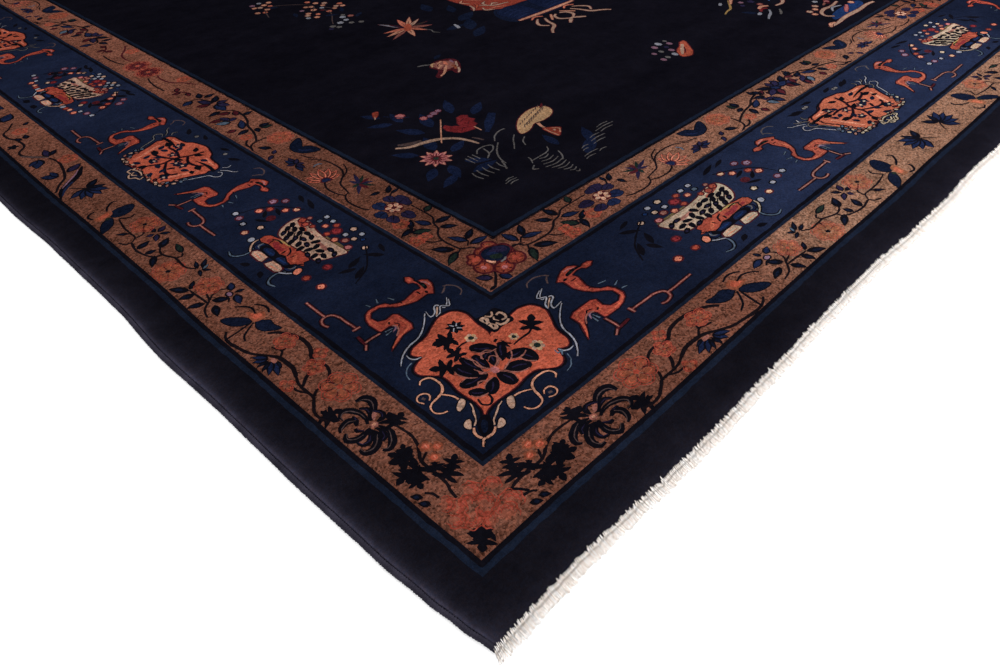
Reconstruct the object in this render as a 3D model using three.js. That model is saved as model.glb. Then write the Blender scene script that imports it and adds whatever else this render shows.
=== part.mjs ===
// A Peking rug lying flat on a floor. One knotted slab carries the pile. An overcast cord runs
// down each long side, and a fringe of warp ends hangs from a narrow web at each short end.
// Millimetres. X runs across the rug, Y along it, Z up from the floor. The origin is on the
// floor under the middle of the rug.
import * as THREE from 'three';

// Driving dimensions
const RUG_WIDTH = 3050;          // over both side cords
const PILE_LENGTH = 3600;        // between the two lines where the pile stops
const SLAB_THICKNESS = 9;        // foundation and pile together
const SLAB_ROUNDING = 2.2;       // how far the pile leans in along its upper and lower edges
const CORD_WIDTH = 8;            // overcast side cord
const CORD_THICKNESS = 7;
const CORD_ROUNDING = 2.4;
const WEB_WIDTH = 4;             // plain woven strip that the fringe hangs from
const FRINGE_LENGTH = 17;        // usual length of a lock beyond the web
const FRINGE_THICKNESS = 2.6;
const PIECE_GAP = 0.4;           // between the slab, its cords and its fringes
const LOCKS_PER_END = 145;
const LOCK_ROOT_SHARE = 0.66;    // of the pitch from one lock to the next
const LOCK_TIP_SHARE = 0.42;
const LOCK_LENGTH_VARIATION = 4; // a lock is this much longer or shorter than usual
const LOCK_LEAN = 4;             // a lock's tip lies this far to one side or the other
const EDGE_STEP = 90;            // spacing of the points along an edge
const WANDER_REACH = 90;         // how far into the rug an edge's wander is still felt
const ROUNDING_SEGMENTS = 2;

// Colours and surface
const NAVY_WOOL = { color: 0x14121d, roughness: 0.9, metalness: 0 };
const NAVY_CORD = { color: 0x0f0e17, roughness: 0.85, metalness: 0 };
const COTTON = { color: 0xe6ddd0, roughness: 0.95, metalness: 0 };

// How each edge wanders as the rug lies: millimetres inwards from its straight line, by
// distance along the edge. Sides start at the near end, ends start at the near side.
const NEAR_SIDE = [
  { along: 0, inward: 22 },
  { along: 45, inward: 15 },
  { along: 90, inward: 10 },
  { along: 170, inward: 5 },
  { along: 345, inward: 2 },
  { along: 520, inward: 2 },
  { along: 690, inward: -2 },
  { along: 860, inward: 5 },
  { along: 1120, inward: 4 },
  { along: 1300, inward: -2 },
  { along: 1800, inward: 2 },
  { along: 2400, inward: -3 },
  { along: 3300, inward: 2 },
  { along: 3600, inward: 12 },
];
const FAR_SIDE = [
  { along: 0, inward: 10 },
  { along: 200, inward: 2 },
  { along: 900, inward: -3 },
  { along: 1700, inward: 3 },
  { along: 2600, inward: -2 },
  { along: 3400, inward: 2 },
  { along: 3600, inward: 11 },
];
const NEAR_END = [
  { along: 0, inward: -9 },
  { along: 90, inward: -5 },
  { along: 180, inward: -3 },
  { along: 430, inward: -8 },
  { along: 600, inward: -4 },
  { along: 780, inward: 0 },
  { along: 950, inward: 1 },
  { along: 1120, inward: -6 },
  { along: 1250, inward: -8 },
  { along: 1400, inward: -3 },
  { along: 1560, inward: -7 },
  { along: 2000, inward: 0 },
  { along: 2500, inward: -4 },
  { along: 3050, inward: 2 },
];
const FAR_END = [
  { along: 0, inward: 3 },
  { along: 500, inward: -3 },
  { along: 1300, inward: 3 },
  { along: 2200, inward: -3 },
  { along: 3050, inward: 3 },
];

// The wander at a distance along an edge, eased from one row of its table to the next
function wander(table, along) {
  const next = table.findIndex((row) => row.along >= along);
  if (next === -1) return table[table.length - 1].inward;
  if (next === 0) return table[0].inward;
  const from = table[next - 1];
  const to = table[next];
  const share = THREE.MathUtils.smoothstep(along, from.along, to.along);
  return THREE.MathUtils.lerp(from.inward, to.inward, share);
}

// Where a point of the squarely cut rug comes to lie: the edges wander, the middle does not
function lay(across, along) {
  const halfWidth = RUG_WIDTH / 2;
  const halfLength = PILE_LENGTH / 2;
  const pull = (distance) => Math.exp(-Math.max(distance, 0) / WANDER_REACH);
  const fromNearEnd = along + halfLength;
  const fromNearSide = across + halfWidth;
  const x = across
    + wander(NEAR_SIDE, fromNearEnd) * pull(halfWidth + across)
    - wander(FAR_SIDE, fromNearEnd) * pull(halfWidth - across);
  const y = along
    + wander(NEAR_END, fromNearSide) * pull(halfLength + along)
    - wander(FAR_END, fromNearSide) * pull(halfLength - along);
  return new THREE.Vector2(x, y);
}

// Points from one place of the cut rug to another, at most EDGE_STEP apart, the last left out
function edgePoints(from, to) {
  const steps = Math.ceil(from.distanceTo(to) / EDGE_STEP);
  const at = (i) => from.clone().lerp(to, i / steps);
  return Array.from({ length: steps }, (_, i) => at(i));
}

// The outline of a rectangle of the cut rug
function rectangleOutline(left, bottom, right, top) {
  const corners = [
    new THREE.Vector2(left, bottom),
    new THREE.Vector2(right, bottom),
    new THREE.Vector2(right, top),
    new THREE.Vector2(left, top),
  ];
  return corners.flatMap((corner, i) => edgePoints(corner, corners[(i + 1) % corners.length]));
}

// A flat piece of the rug: an outline of the cut rug, laid on the floor and given its thickness
function flatPiece(name, outline, thickness, rounding, finish) {
  const shape = new THREE.Shape(outline.map((p) => lay(p.x, p.y)));
  const geometry = new THREE.ExtrudeGeometry(shape, {
    depth: thickness - 2 * rounding,
    bevelEnabled: rounding > 0,
    bevelThickness: rounding,
    bevelSize: rounding,
    bevelOffset: -rounding,
    bevelSegments: ROUNDING_SEGMENTS,
    steps: 1,
  });
  const mesh = new THREE.Mesh(geometry, new THREE.MeshStandardMaterial(finish));
  mesh.name = name;
  mesh.position.z = rounding;
  return mesh;
}

// A repeatable number from -1 to 1 for one lock of one fringe
function scatter(lock, salt) {
  const spread = Math.sin(lock * 127.1 + salt * 311.7) * 43758.5453;
  return 2 * (spread - Math.floor(spread)) - 1;
}

// The outline of a fringe: a web along the end of the pile, and locks that stand apart beyond it
function fringeOutline(endSign, salt) {
  const pitch = RUG_WIDTH / LOCKS_PER_END;
  const pileEnd = PILE_LENGTH / 2 + PIECE_GAP;
  const webEdge = pileEnd + WEB_WIDTH;
  const left = new THREE.Vector2(-RUG_WIDTH / 2, pileEnd);
  const right = new THREE.Vector2(RUG_WIDTH / 2, pileEnd);
  const outline = [...edgePoints(right, left), left];
  for (let lock = 0; lock < LOCKS_PER_END; lock += 1) {
    const centre = -RUG_WIDTH / 2 + (lock + 0.5) * pitch;
    const tip = centre + LOCK_LEAN * scatter(lock, salt + 1);
    const length = FRINGE_LENGTH + LOCK_LENGTH_VARIATION * scatter(lock, salt);
    const skew = 1.5 * scatter(lock, salt + 2);
    const rootHalf = (pitch * LOCK_ROOT_SHARE) / 2;
    const tipHalf = (pitch * LOCK_TIP_SHARE) / 2;
    outline.push(
      new THREE.Vector2(centre - rootHalf, webEdge),
      new THREE.Vector2(tip - tipHalf, webEdge + length + skew),
      new THREE.Vector2(tip + tipHalf, webEdge + length - skew),
      new THREE.Vector2(centre + rootHalf, webEdge),
    );
  }
  outline.push(new THREE.Vector2(RUG_WIDTH / 2, webEdge));
  return outline.map((p) => new THREE.Vector2(p.x, endSign * p.y));
}

function pileSlab() {
  const halfWidth = RUG_WIDTH / 2 - CORD_WIDTH - PIECE_GAP;
  const halfLength = PILE_LENGTH / 2;
  const outline = rectangleOutline(-halfWidth, -halfLength, halfWidth, halfLength);
  return flatPiece('pile_slab', outline, SLAB_THICKNESS, SLAB_ROUNDING, NAVY_WOOL);
}

function sideCord(name, sideSign) {
  const outer = (sideSign * RUG_WIDTH) / 2;
  const inner = outer - sideSign * CORD_WIDTH;
  const halfLength = PILE_LENGTH / 2;
  const outline = rectangleOutline(
    Math.min(outer, inner), -halfLength, Math.max(outer, inner), halfLength,
  );
  return flatPiece(name, outline, CORD_THICKNESS, CORD_ROUNDING, NAVY_CORD);
}

function fringe(name, endSign, salt) {
  return flatPiece(name, fringeOutline(endSign, salt), FRINGE_THICKNESS, 0, COTTON);
}

const rug = new THREE.Group();
rug.add(pileSlab());
rug.add(sideCord('side_cord_near', -1));
rug.add(sideCord('side_cord_far', 1));
rug.add(fringe('fringe_near', -1, 0));
rug.add(fringe('fringe_far', 1, 10));

export default rug;
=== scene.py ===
"""A Peking rug lying flat: knotted pile with its pattern, overcast side cords and cotton fringes."""
import math
import bpy
import numpy as np
from mathutils import Matrix, Vector
from mathutils.geometry import delaunay_2d_cdt


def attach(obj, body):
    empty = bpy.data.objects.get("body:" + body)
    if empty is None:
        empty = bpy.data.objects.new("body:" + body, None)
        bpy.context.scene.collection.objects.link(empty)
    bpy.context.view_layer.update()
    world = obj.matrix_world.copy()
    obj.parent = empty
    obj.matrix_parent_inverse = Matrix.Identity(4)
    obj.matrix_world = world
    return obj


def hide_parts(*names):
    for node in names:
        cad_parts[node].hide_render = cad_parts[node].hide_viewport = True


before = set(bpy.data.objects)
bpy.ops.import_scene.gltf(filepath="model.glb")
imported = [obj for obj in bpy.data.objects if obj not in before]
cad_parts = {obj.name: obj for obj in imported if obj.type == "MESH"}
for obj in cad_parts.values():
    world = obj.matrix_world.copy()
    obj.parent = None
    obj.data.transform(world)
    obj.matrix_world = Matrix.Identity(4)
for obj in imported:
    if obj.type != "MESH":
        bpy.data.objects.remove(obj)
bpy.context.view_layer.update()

# The cut rug, in millimetres from its near corner: x across the rug, y along it
WIDTH, LENGTH = 3050, 3600
SIDE_LINES = (0, 85, 187, 460, 575)      # borders in from a long side
END_LINES = (0, 80, 175.5, 432, 540)     # borders in from a short end
WANDER_REACH = 90
# How each edge wanders inwards as the rug lies: {distance along the edge: inward}. The near side
# up to 1300 and the near end up to 1560 are measured on the photo, and the rest is guessed.
NEAR_SIDE = {0: 22, 45: 15, 90: 10, 170: 5, 345: 2, 520: 2, 690: -2, 860: 5, 1120: 4,
             1300: -2, 1800: 2, 2400: -3, 3300: 2, 3600: 12}
FAR_SIDE = {0: 10, 200: 2, 900: -3, 1700: 3, 2600: -2, 3400: 2, 3600: 11}
NEAR_END = {0: -9, 90: -5, 180: -3, 430: -8, 600: -4, 780: 0, 950: 1, 1120: -6, 1250: -8,
            1400: -3, 1560: -7, 2000: 0, 2500: -4, 3050: 2}
FAR_END = {0: 3, 500: -3, 1300: 3, 2200: -3, 3050: 3}


def wander(table, along):
    """The wander at distances along an edge, eased from one row of its table to the next"""
    at, inward = np.array(list(table)), np.array(list(table.values()))
    i = np.clip(np.searchsorted(at, along), 1, len(at) - 1)
    t = np.clip((along - at[i - 1]) / (at[i] - at[i - 1]), 0, 1)
    return inward[i - 1] + (inward[i] - inward[i - 1]) * t * t * (3 - 2 * t)


def lay(z):
    """Where points of the squarely cut rug come to lie: the edges wander, the middle does not"""
    x, y = z.real, z.imag
    pull = lambda d: np.exp(-np.maximum(d, 0) / WANDER_REACH)
    return (x + wander(NEAR_SIDE, y) * pull(x) - wander(FAR_SIDE, y) * pull(WIDTH - x)
            + 1j * (y + wander(NEAR_END, x) * pull(y) - wander(FAR_END, x) * pull(LENGTH - y)))


# Drawing with wool: outlines are arrays of complex numbers, in millimetres. Their points are read
# off the photo, straightened out and under a millimetre grid.
def turn(degrees):
    return np.exp(1j * math.radians(degrees))


def smooth(knots, closed=True, step=4.0):
    """Points about one step apart on the smooth curve through the knots"""
    k = np.asarray(knots, complex)
    n = len(k)
    if closed:
        ends = [(k[i - 1], k[i], k[(i + 1) % n], k[(i + 2) % n]) for i in range(n)]
    else:
        p = np.concatenate([[2 * k[0] - k[1]], k, [2 * k[-1] - k[-2]]])
        ends = [p[i:i + 4] for i in range(n - 1)]
    out = []
    for a, b, c, d in ends:
        t = np.arange(max(1, round(abs(c - b) / step))) / max(1, round(abs(c - b) / step))
        out.append(b + (c - a) * t / 2 + (a - 2.5 * b + 2 * c - d / 2) * t ** 2
                   + (1.5 * b - 1.5 * c + (d - a) / 2) * t ** 3)
    return np.concatenate(out + ([] if closed else [k[-1:]]))


def ribbon(knots, *widths):
    """The outline of a drawn line whose width runs through the widths given"""
    z = smooth(knots, closed=False)
    side = np.gradient(z)
    side *= 0.5j * np.interp(np.linspace(0, 1, len(z)), np.linspace(0, 1, len(widths)), widths) \
        / np.maximum(abs(side), 1e-9)
    return np.concatenate([z + side, (z - side)[::-1]])


def leaf_outline(length, width, bend=0.0, step=4.0):
    """A pointed leaf from 0 to length along the first axis"""
    t = np.linspace(0, 1, max(4, round(length / step)))
    half = 0.5j * width * np.sin(np.pi * t ** 0.8)
    spine = length * (t + 4j * bend * t * (1 - t))
    return np.concatenate([spine + half, (spine - half)[-2:0:-1]])


def disc(radius, points=None, squash=1.0):
    a = np.linspace(0, 2 * np.pi, points or max(6, round(6.28 * radius / 4)), endpoint=False)
    return radius * (np.cos(a) + 1j * squash * np.sin(a))


def scallop(radius, lobes, depth, power=0.5, points=5):
    """A round outline with rounded lobes and sharp notches between them"""
    a = np.linspace(0, 2 * np.pi, lobes * points, endpoint=False)
    return radius * (1 - depth + depth * abs(np.sin(lobes * a / 2)) ** power) * np.exp(1j * a)


class Pen:
    """Draws in a motif's own frame and adds to the pattern where that frame stands"""

    def __init__(self, pattern, place=lambda z: z):
        self.pattern, self.place = pattern, place

    def at(self, where, degrees=0, size=1.0, flip=False, wide=1.0):
        def place(z):
            z = np.asarray(z, complex)
            z = wide * z.real + 1j * z.imag
            return self.place(where + size * turn(degrees) * (-z.conj() if flip else z))
        return Pen(self.pattern, place)

    def fill(self, dye, outline):
        self.pattern.append((dye, self.place(np.asarray(outline, complex))))

    def line(self, dye, knots, *widths):
        self.fill(dye, ribbon(knots, *widths))

    def edged(self, dye, edge, outline, width=3.0):
        """A fill with a drawn outline round it"""
        z = np.asarray(outline, complex)
        centre = z.mean()
        self.fill(edge, centre + (z - centre) * (1 + width / np.maximum(abs(z - centre), width)))
        self.fill(dye, z)

    def leaf(self, dye, where, degrees, length, width=None, bend=0.0):
        """A leaf whose stalk end is at where"""
        self.fill(dye, where + turn(degrees) * leaf_outline(length, width or length * 0.5, bend))

    def blade(self, dye, start, tip, width):
        """A leaf from its stalk end to its tip"""
        length = abs(tip - start)
        self.fill(dye, start + (tip - start) / length * leaf_outline(length, width))

    def dot(self, dye, where, radius, points=None, squash=1.0):
        self.fill(dye, where + disc(radius, points, squash))


# Motifs
LOBED_HALF = [0, .1 + .05j, .0 + .3j, .05 + .47j, .08 + .49j, .22 + .36j, .3 + .16j, .42 + .4j, .53 + .56j,
              .57 + .56j,
              .64 + .36j, .62 + .14j, .76 + .2j, .96 + .1j, 1.04]


def lobed_leaf(p, dye, where, degrees, length, wide=1.0):
    """A peony's leaf, with deep rounded lobes"""
    half = np.array(LOBED_HALF)
    half = half.real + 1j * wide * half.imag
    z = smooth(np.concatenate([half, half[-2:0:-1].conj()]) * length, step=5)
    p.fill(dye, where + turn(degrees) * z)


def leaves(p, rows):
    """Leaves with a dark outline, from rows of (dye, stalk end, tip, width)"""
    for dye, start, tip, width in rows:
        width = width * (1.35 if start.real > 1100 else 1.08)
        p.blade('ink', start, tip, width + (0 if dye == 'ink' else 3))
        if dye == 'ink':
            p.blade('deep', start + .3 * (tip - start), tip - .2 * (tip - start), width * .4)
        else:
            p.blade(dye, start + .12 * (tip - start), tip - .06 * (tip - start), width * .72)


def vines(p, rows, dye='vine'):
    """Stems from rows of (width, knots)"""
    for width, knots in rows:
        width = width * (1.35 if knots[0].real > 1100 else 1.08)
        p.line(dye, knots, width * .8, width, width, width * .7)


def soft_flower(p, where, radius, petals, seed=0, heart='rust', dyes=('blush', 'coral')):
    """A flower in broken coral lines that leave the ground showing"""
    for i in range(petals):
        a = 360 * i / petals + seed
        middle = where + turn(a) * radius * .58
        p.fill(dyes[0], middle + turn(a) * radius * .38 * smooth([-1.2, -.3 - .5j, .8 - .7j, .9 + .5j,
                                                                  -.2 + .6j]))
        for dye, r, half in (('brick', .46, 112), ('rust', .3, 140), (dyes[1], .14, 100)):
            knots = arc(middle, radius * r, a - half,
                        a + half) + radius * .05 * np.exp(1j * (np.arange(6) * 2.2 + i))
            p.line(dye, knots, 1, 2, 1)
        foot = where + turn(a + 180 / petals) * radius * .34
        p.line('maroon', [foot, foot + turn(a + 180 / petals) * radius * .3], 1.4, 2.2, 1)
    if heart:
        p.fill(heart, where + scallop(radius * .18, 5, .3))


def butterfly(p, rows, body):
    """Two broad dark wings and a coral body. Its feelers and curls are in the rows."""
    for outline in rows[0]:
        both(p, 'deep', 'ink', 2, smooth(outline))
    p.fill('blush', smooth(body))
    p.fill('coral', np.mean(body) + .6 * (smooth(body) - np.mean(body)))
    vines(p, rows[1], 'ink')


CHRYSANTHEMUM = (      # curling petals about the heart at 0: (widths, knots)
    ((3, 8, 9, 8, 3), [-5 - 11j, -20 - 10j, -31 - 20j, -36 - 32j, -32 - 43j, -23 - 43j]),
    ((2, 5, 6, 5, 2), [-4 - 12j, -14 - 17j, -21 - 26j, -19 - 36j, -10 - 38j]),
    ((3, 7, 8, 7, 3), [-2 - 9j, -6 - 24j, -5 - 36j, 4 - 45j, 14 - 38j]),
    ((3, 7, 8, 6, 2), [14 - 19j, 24 - 15j, 30 - 25j, 26 - 38j, 20 - 43j]),
    ((2, 5, 3), [-18j, 6 - 25j, 12 - 24j]),
    ((3, 5, 6, 8, 7, 4, 2), [6 - 7j, 17 - 2j, 31 - 2j, 44 - 8j, 50 - 17j, 45 - 26j, 36 - 26j]),
    ((3, 5, 6, 2), [9 - 1j, 19 + 8j, 31 + 10j, 38 + 3j]),
    ((3, 6, 8, 10, 9, 3), [7 + 1j, 18 + 12j, 28 + 21j, 40 + 25j, 50 + 20j, 53 + 8j]),
    ((2, 6, 5, 5, 2), [5j, 1 + 16j, 7 + 21j, 15 + 19j, 22 + 14j]),
    ((2, 5, 6, 3), [-6 - 3j, -20 - 1j, -30 - 5j, -33 - 12j]),
    ((2, 5, 7, 9, 7, 3), [-6 + 2j, -25 + 7j, -36 + 2j, -46 - 6j, -50 - 16j, -45 - 22j]),
    ((2, 5, 2), [24 - 11j, 29 - 14j, 33 - 12j]),
)


def outer_guard(p, reach):
    """The outer guard of one arm from the corner: along the first axis, in along the second"""
    # Peony stem with lobed leaves, berries and the great chrysanthemum
    vines(p, ((5, [163 + 128j, 176 + 130j, 190 + 135j, 215 + 136j, 240 + 137j, 262 + 151j, 284 + 157j,
                   312 + 155j]),
              (4, [179 + 113j, 190 + 111j, 198 + 105j]), (4, [238 + 137j, 243 + 146j, 246 + 152j])))
    for start, tip, width in ((178 + 99j, 193 + 88j, 11), (193 + 99j, 207 + 88j, 11)):
        p.blade('ink', start, tip, width)
        p.blade('deep', start + .3 * (tip - start), tip - .25 * (tip - start), width * .5)
    for where, degrees, length, wide in ((236 + 132j, -112, 34, 1.2), (240 + 118j, -104, 30, 1.0),
                                         (228 + 112j, 190, 24, 1.1),
                                         (252 + 138j, -66, 36, 1.0), (256 + 124j, -20, 26, 1.1),
                                         (262 + 130j, 24, 20, 1.1),
                                         (196 + 136j, 70, 30, 1.3), (212 + 138j, 34, 20, 1.2),
                                         (202 + 156j, 56, 24, 1.1),
                                         (310 + 152j, 22, 30, 1.2), (318 + 158j, 72, 20, 1.3)):
        lobed_leaf(p, 'ink', where, degrees, length, wide)
    for spot, radius in ((232 + 153j, 9), (254 + 157j, 10), (243 + 168j, 9)):
        p.fill('blush', spot + scallop(radius, 5, .2))
        p.fill('coral', spot + disc(radius * .6, 7))
        p.line('salmon', [spot - 3, spot + 3 + 2j], 2, 2)
    bloom = p.at(336 + 136j)
    for widths, knots in CHRYSANTHEMUM:
        bloom.line('ink', knots, *[1.5 * width for width in widths])
        core = [.95 * knot + .4 for knot in knots[1:]] if len(knots) > 3 else [.9 * knot for knot in knots]
        bloom.line('umber' if max(widths) > 6 else 'violet', core, .6, 1.8, 1.6, .6)
    bloom.fill('rose', smooth([-7 - 3j, -1 - 7j, 4 - 3j, 3 + 3j, -5 + 4j]))
    bloom.fill('pinkish', smooth([-3 - 2j, 1 - 4j, 2 + 1j, -2 + 2j]))
    bloom.fill('rose', smooth([6 + 4j, 12 + 5j, 19 + 12j, 13 + 15j, 8 + 10j]))
    lobed_leaf(p, 'ink', 402 + 92j, 152, 30, 1.0)
    lobed_leaf(p, 'ink', 398 + 94j, 104, 28, 1.0)
    # Two waving stems with a fan of blue leaves between
    vines(p, ((5, [384 + 94j, 400 + 90j, 415 + 92j, 428 + 100j, 440 + 108j, 456 + 108j, 478 + 109j,
                   500 + 118j]),
              (7.5, [494 + 115j, 512 + 122j, 530 + 123j, 549 + 121j, 562 + 114j]),
              (5.5, [558 + 117j, 575 + 105j, 590 + 96j, 612 + 91j, 636 + 88j, 652 + 91j, 662 + 99j]),
              (4, [454 + 107j, 466 + 100j, 482 + 99j]), (5.5, [469 + 110j, 480 + 122j, 488 + 137j]),
              (5, [440 + 108j, 448 + 120j, 449 + 136j, 458 + 149j, 472 + 158j, 486 + 160j, 504 + 152j]),
              (7, [500 + 151j, 514 + 156j, 530 + 166j, 548 + 170j, 566 + 169j, 586 + 162j, 600 + 154j,
                   611 + 141j]),
              (3.6, [441 + 151j, 448 + 140j]), (4, [547 + 123j, 558 + 133j, 568 + 130j, 578 + 127j]),
              (3.4, [558 + 132j, 560 + 141j])))
    leaves(p, (('blue', 548 + 112j, 514 + 98j, 10), ('blue', 550 + 110j, 526 + 88j, 9),
               ('ink', 551 + 108j, 540 + 84j, 8),
               ('ink', 554 + 107j, 555 + 84j, 8), ('blue', 557 + 108j, 569 + 86j, 9),
               ('blue', 559 + 110j, 580 + 92j, 9),
               ('ink', 545 + 116j, 524 + 110j, 7)))
    p.fill('rose', smooth([542 + 110j, 550 + 108j, 556 + 113j, 547 + 116j]))
    soft_flower(p, 430 + 147j, 30, 6, 20)
    soft_flower(p, 488 + 94j, 13, 4, 0, None)
    soft_flower(p, 492 + 146j, 17, 5, 10)
    soft_flower(p, 574 + 150j, 19, 5, 30)
    soft_flower(p, 511 + 171j, 12, 4, 0, None)
    butterfly(p, (([606 + 163j, 612 + 150j, 622 + 140j, 634 + 137j, 645 + 142j, 652 + 148j, 643 + 155j,
                    636 + 162j, 622 + 160j],
                   [654 + 138j, 657 + 125j, 668 + 113j, 680 + 108j, 694 + 108j, 690 + 119j, 676 + 133j,
                    664 + 140j]),
                  ((3.6, [620 + 107j, 632 + 113j, 641 + 125j, 650 + 140j]),
                   (3.6, [645 + 86j, 648 + 108j, 651 + 128j, 654 + 140j]),
                   (4, [668 + 155j, 685 + 159j, 700 + 151j, 708 + 141j]),
                   (4, [654 + 172j, 668 + 177j, 682 + 173j, 690 + 166j]))),
              [650 + 144j, 664 + 142j, 682 + 147j, 670 + 156j, 662 + 168j, 648 + 160j])
    # A whorl of dark leaves on a bent stem, a ringed bud and a coral flower
    vines(p, ((4, [716 + 96j, 736 + 102j, 748 + 113j, 756 + 121j, 780 + 128j]),
              (4.4, [748 + 115j, 770 + 114j, 790 + 112j, 806 + 111j]),
              (4, [754 + 121j, 764 + 130j, 768 + 146j, 763 + 157j]),
              (3.4, [728 + 141j, 736 + 147j, 744 + 146j])))
    leaves(p, (('ink', 738 + 121j, 706 + 109j, 14), ('ink', 752 + 112j, 766 + 84j, 14),
               ('ink', 788 + 112j, 797 + 84j, 15),
               ('ink', 752 + 123j, 734 + 149j, 15), ('ink', 804 + 110j, 836 + 87j, 16),
               ('ink', 806 + 112j, 826 + 131j, 10),
               ('blue', 738 + 160j, 708 + 152j, 13), ('ink', 744 + 162j, 739 + 180j, 9),
               ('blue', 752 + 160j, 774 + 172j, 12)))
    both(p, 'mauve', 'ink', 3, 746 + 153j + disc(6, 9, .7))
    soft_flower(p, 793 + 141j, 24, 6, 0)
    soft_flower(p, 884 + 112j, 30, 7, 30, 'ink')
    leaves(p, (('ink', 848 + 153j, 826 + 144j, 8), ('ink', 846 + 155j, 830 + 168j, 8),
               ('ink', 852 + 152j, 878 + 161j, 9),
               ('ink', 848 + 158j, 872 + 180j, 10), ('grey', 844 + 156j, 852 + 174j, 6)))
    # A long vine, its leaves and a star flower
    vines(p, ((4.6, [854 + 150j, 872 + 140j, 895 + 140j, 913 + 141j, 928 + 134j, 944 + 130j, 957 + 134j,
                     966 + 141j]),
              (4.6, [941 + 130j, 943 + 118j, 957 + 109j, 985 + 103j, 1002 + 105j, 1018 + 108j, 1022 + 98j,
                     1036 + 92j]),
              (4, [912 + 142j, 909 + 152j, 918 + 158j]), (3.4, [897 + 139j, 896 + 131j]),
              (4, [1019 + 110j, 1031 + 122j, 1052 + 122j, 1080 + 123j, 1116 + 130j]),
              (4, [1027 + 121j, 1031 + 138j, 1045 + 146j, 1056 + 151j])))
    leaves(p, (('green', 918 + 158j, 956 + 165j, 11), ('ink', 949 + 119j, 915 + 97j, 14),
               ('ink', 962 + 136j, 985 + 166j, 17),
               ('ink', 966 + 108j, 962 + 131j, 13), ('ink', 990 + 105j, 1001 + 137j, 15),
               ('ink', 1050 + 120j, 1068 + 100j, 10),
               ('violet', 1012 + 156j, 988 + 142j, 10), ('ink', 1010 + 159j, 996 + 179j, 10),
               ('violet', 1015 + 160j, 1027 + 182j, 11),
               ('ink', 1018 + 157j, 1043 + 158j, 10), ('violet', 1014 + 153j, 1018 + 136j, 8)))
    soft_flower(p, 1060 + 156j, 27, 6, 10, 'ink')
    butterfly(p, (([1090 + 87j, 1108 + 90j, 1126 + 104j, 1132 + 120j, 1120 + 120j, 1102 + 110j],
                   [1134 + 124j, 1150 + 130j, 1156 + 150j, 1152 + 172j, 1140 + 172j, 1126 + 156j,
                    1124 + 136j]),
                  ((3.6, [1150 + 94j, 1165 + 90j, 1175 + 99j, 1177 + 109j]),
                   (3.8, [1160 + 126j, 1175 + 134j, 1188 + 150j, 1183 + 159j]),
                   (3.4, [1116 + 131j, 1106 + 148j, 1111 + 160j]))),
              [1136 + 116j, 1136 + 98j, 1150 + 96j, 1156 + 116j, 1158 + 132j, 1144 + 130j])
    p.dot('green', 1132 + 115j, 5, 7)
    fan_spray(p, 1280 + 139j)
    if reach <= 1300:
        return
    # Along the longer arm: a long grey leaf, a waving stem, tulip leaves and a last vine
    p.fill('ink', ribbon([1276 + 84j, 1304 + 98j, 1328 + 122j, 1350 + 150j, 1382 + 172j], 4, 14, 17, 14, 4))
    p.line('blue', [1286 + 92j, 1308 + 106j, 1330 + 130j], 3, 6, 4)
    p.line('mauve', [1318 + 104j, 1338 + 126j, 1356 + 146j, 1374 + 160j], 2, 4, 4, 2)
    vines(p, ((4.6, [1310 + 88j, 1337 + 106j, 1360 + 126j, 1406 + 140j, 1443 + 144j, 1475 + 138j]),
              (4.6, [1484 + 138j, 1512 + 112j, 1535 + 100j, 1553 + 104j, 1572 + 121j, 1600 + 123j,
                     1623 + 119j, 1641 + 111j,
                     1673 + 111j, 1692 + 129j, 1719 + 147j])))
    p.line('umber', [1478 + 139j, 1504 + 116j, 1530 + 97j], 5, 9, 5)
    leaves(p, (('violet', 1378 + 138j, 1399 + 177j, 15), ('blue', 1372 + 120j, 1400 + 89j, 16),
               ('blue', 1374 + 118j, 1408 + 113j, 10),
               ('blue', 1484 + 120j, 1442 + 100j, 19), ('blue', 1482 + 116j, 1465 + 91j, 10),
               ('violet', 1480 + 139j, 1524 + 145j, 12),
               ('ink', 1484 + 142j, 1505 + 166j, 12), ('ink', 1630 + 118j, 1607 + 131j, 10),
               ('ink', 1608 + 140j, 1634 + 144j, 12),
               ('ink', 1686 + 160j, 1700 + 177j, 10), ('blue', 1740 + 132j, 1780 + 165j, 24)))
    p.fill('ink', 1588 + 102j + scallop(13, 5, .4))
    soft_flower(p, 1440 + 166j, 20, 5, 0)
    soft_flower(p, 1660 + 143j, 17, 5)
    soft_flower(p, 1786 + 112j, 24, 6, 0, 'ink')


def fan_spray(p, where):
    """Pointed leaves in two fans on a short stem"""
    leaves(p, [('blue' if length > 44 else 'ink', where, where + length * turn(degrees), wide)
               for degrees, length, wide in ((-112, 46, 14), (-142, 46, 12), (-168, 48, 12), (165, 48, 12),
                                             (138, 48, 13),
                                             (110, 40, 11), (52, 42, 14))])
    p.line('vine', [where, where + 12 - 10j, where + 26 - 26j], 4, 4, 2.6)


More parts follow.
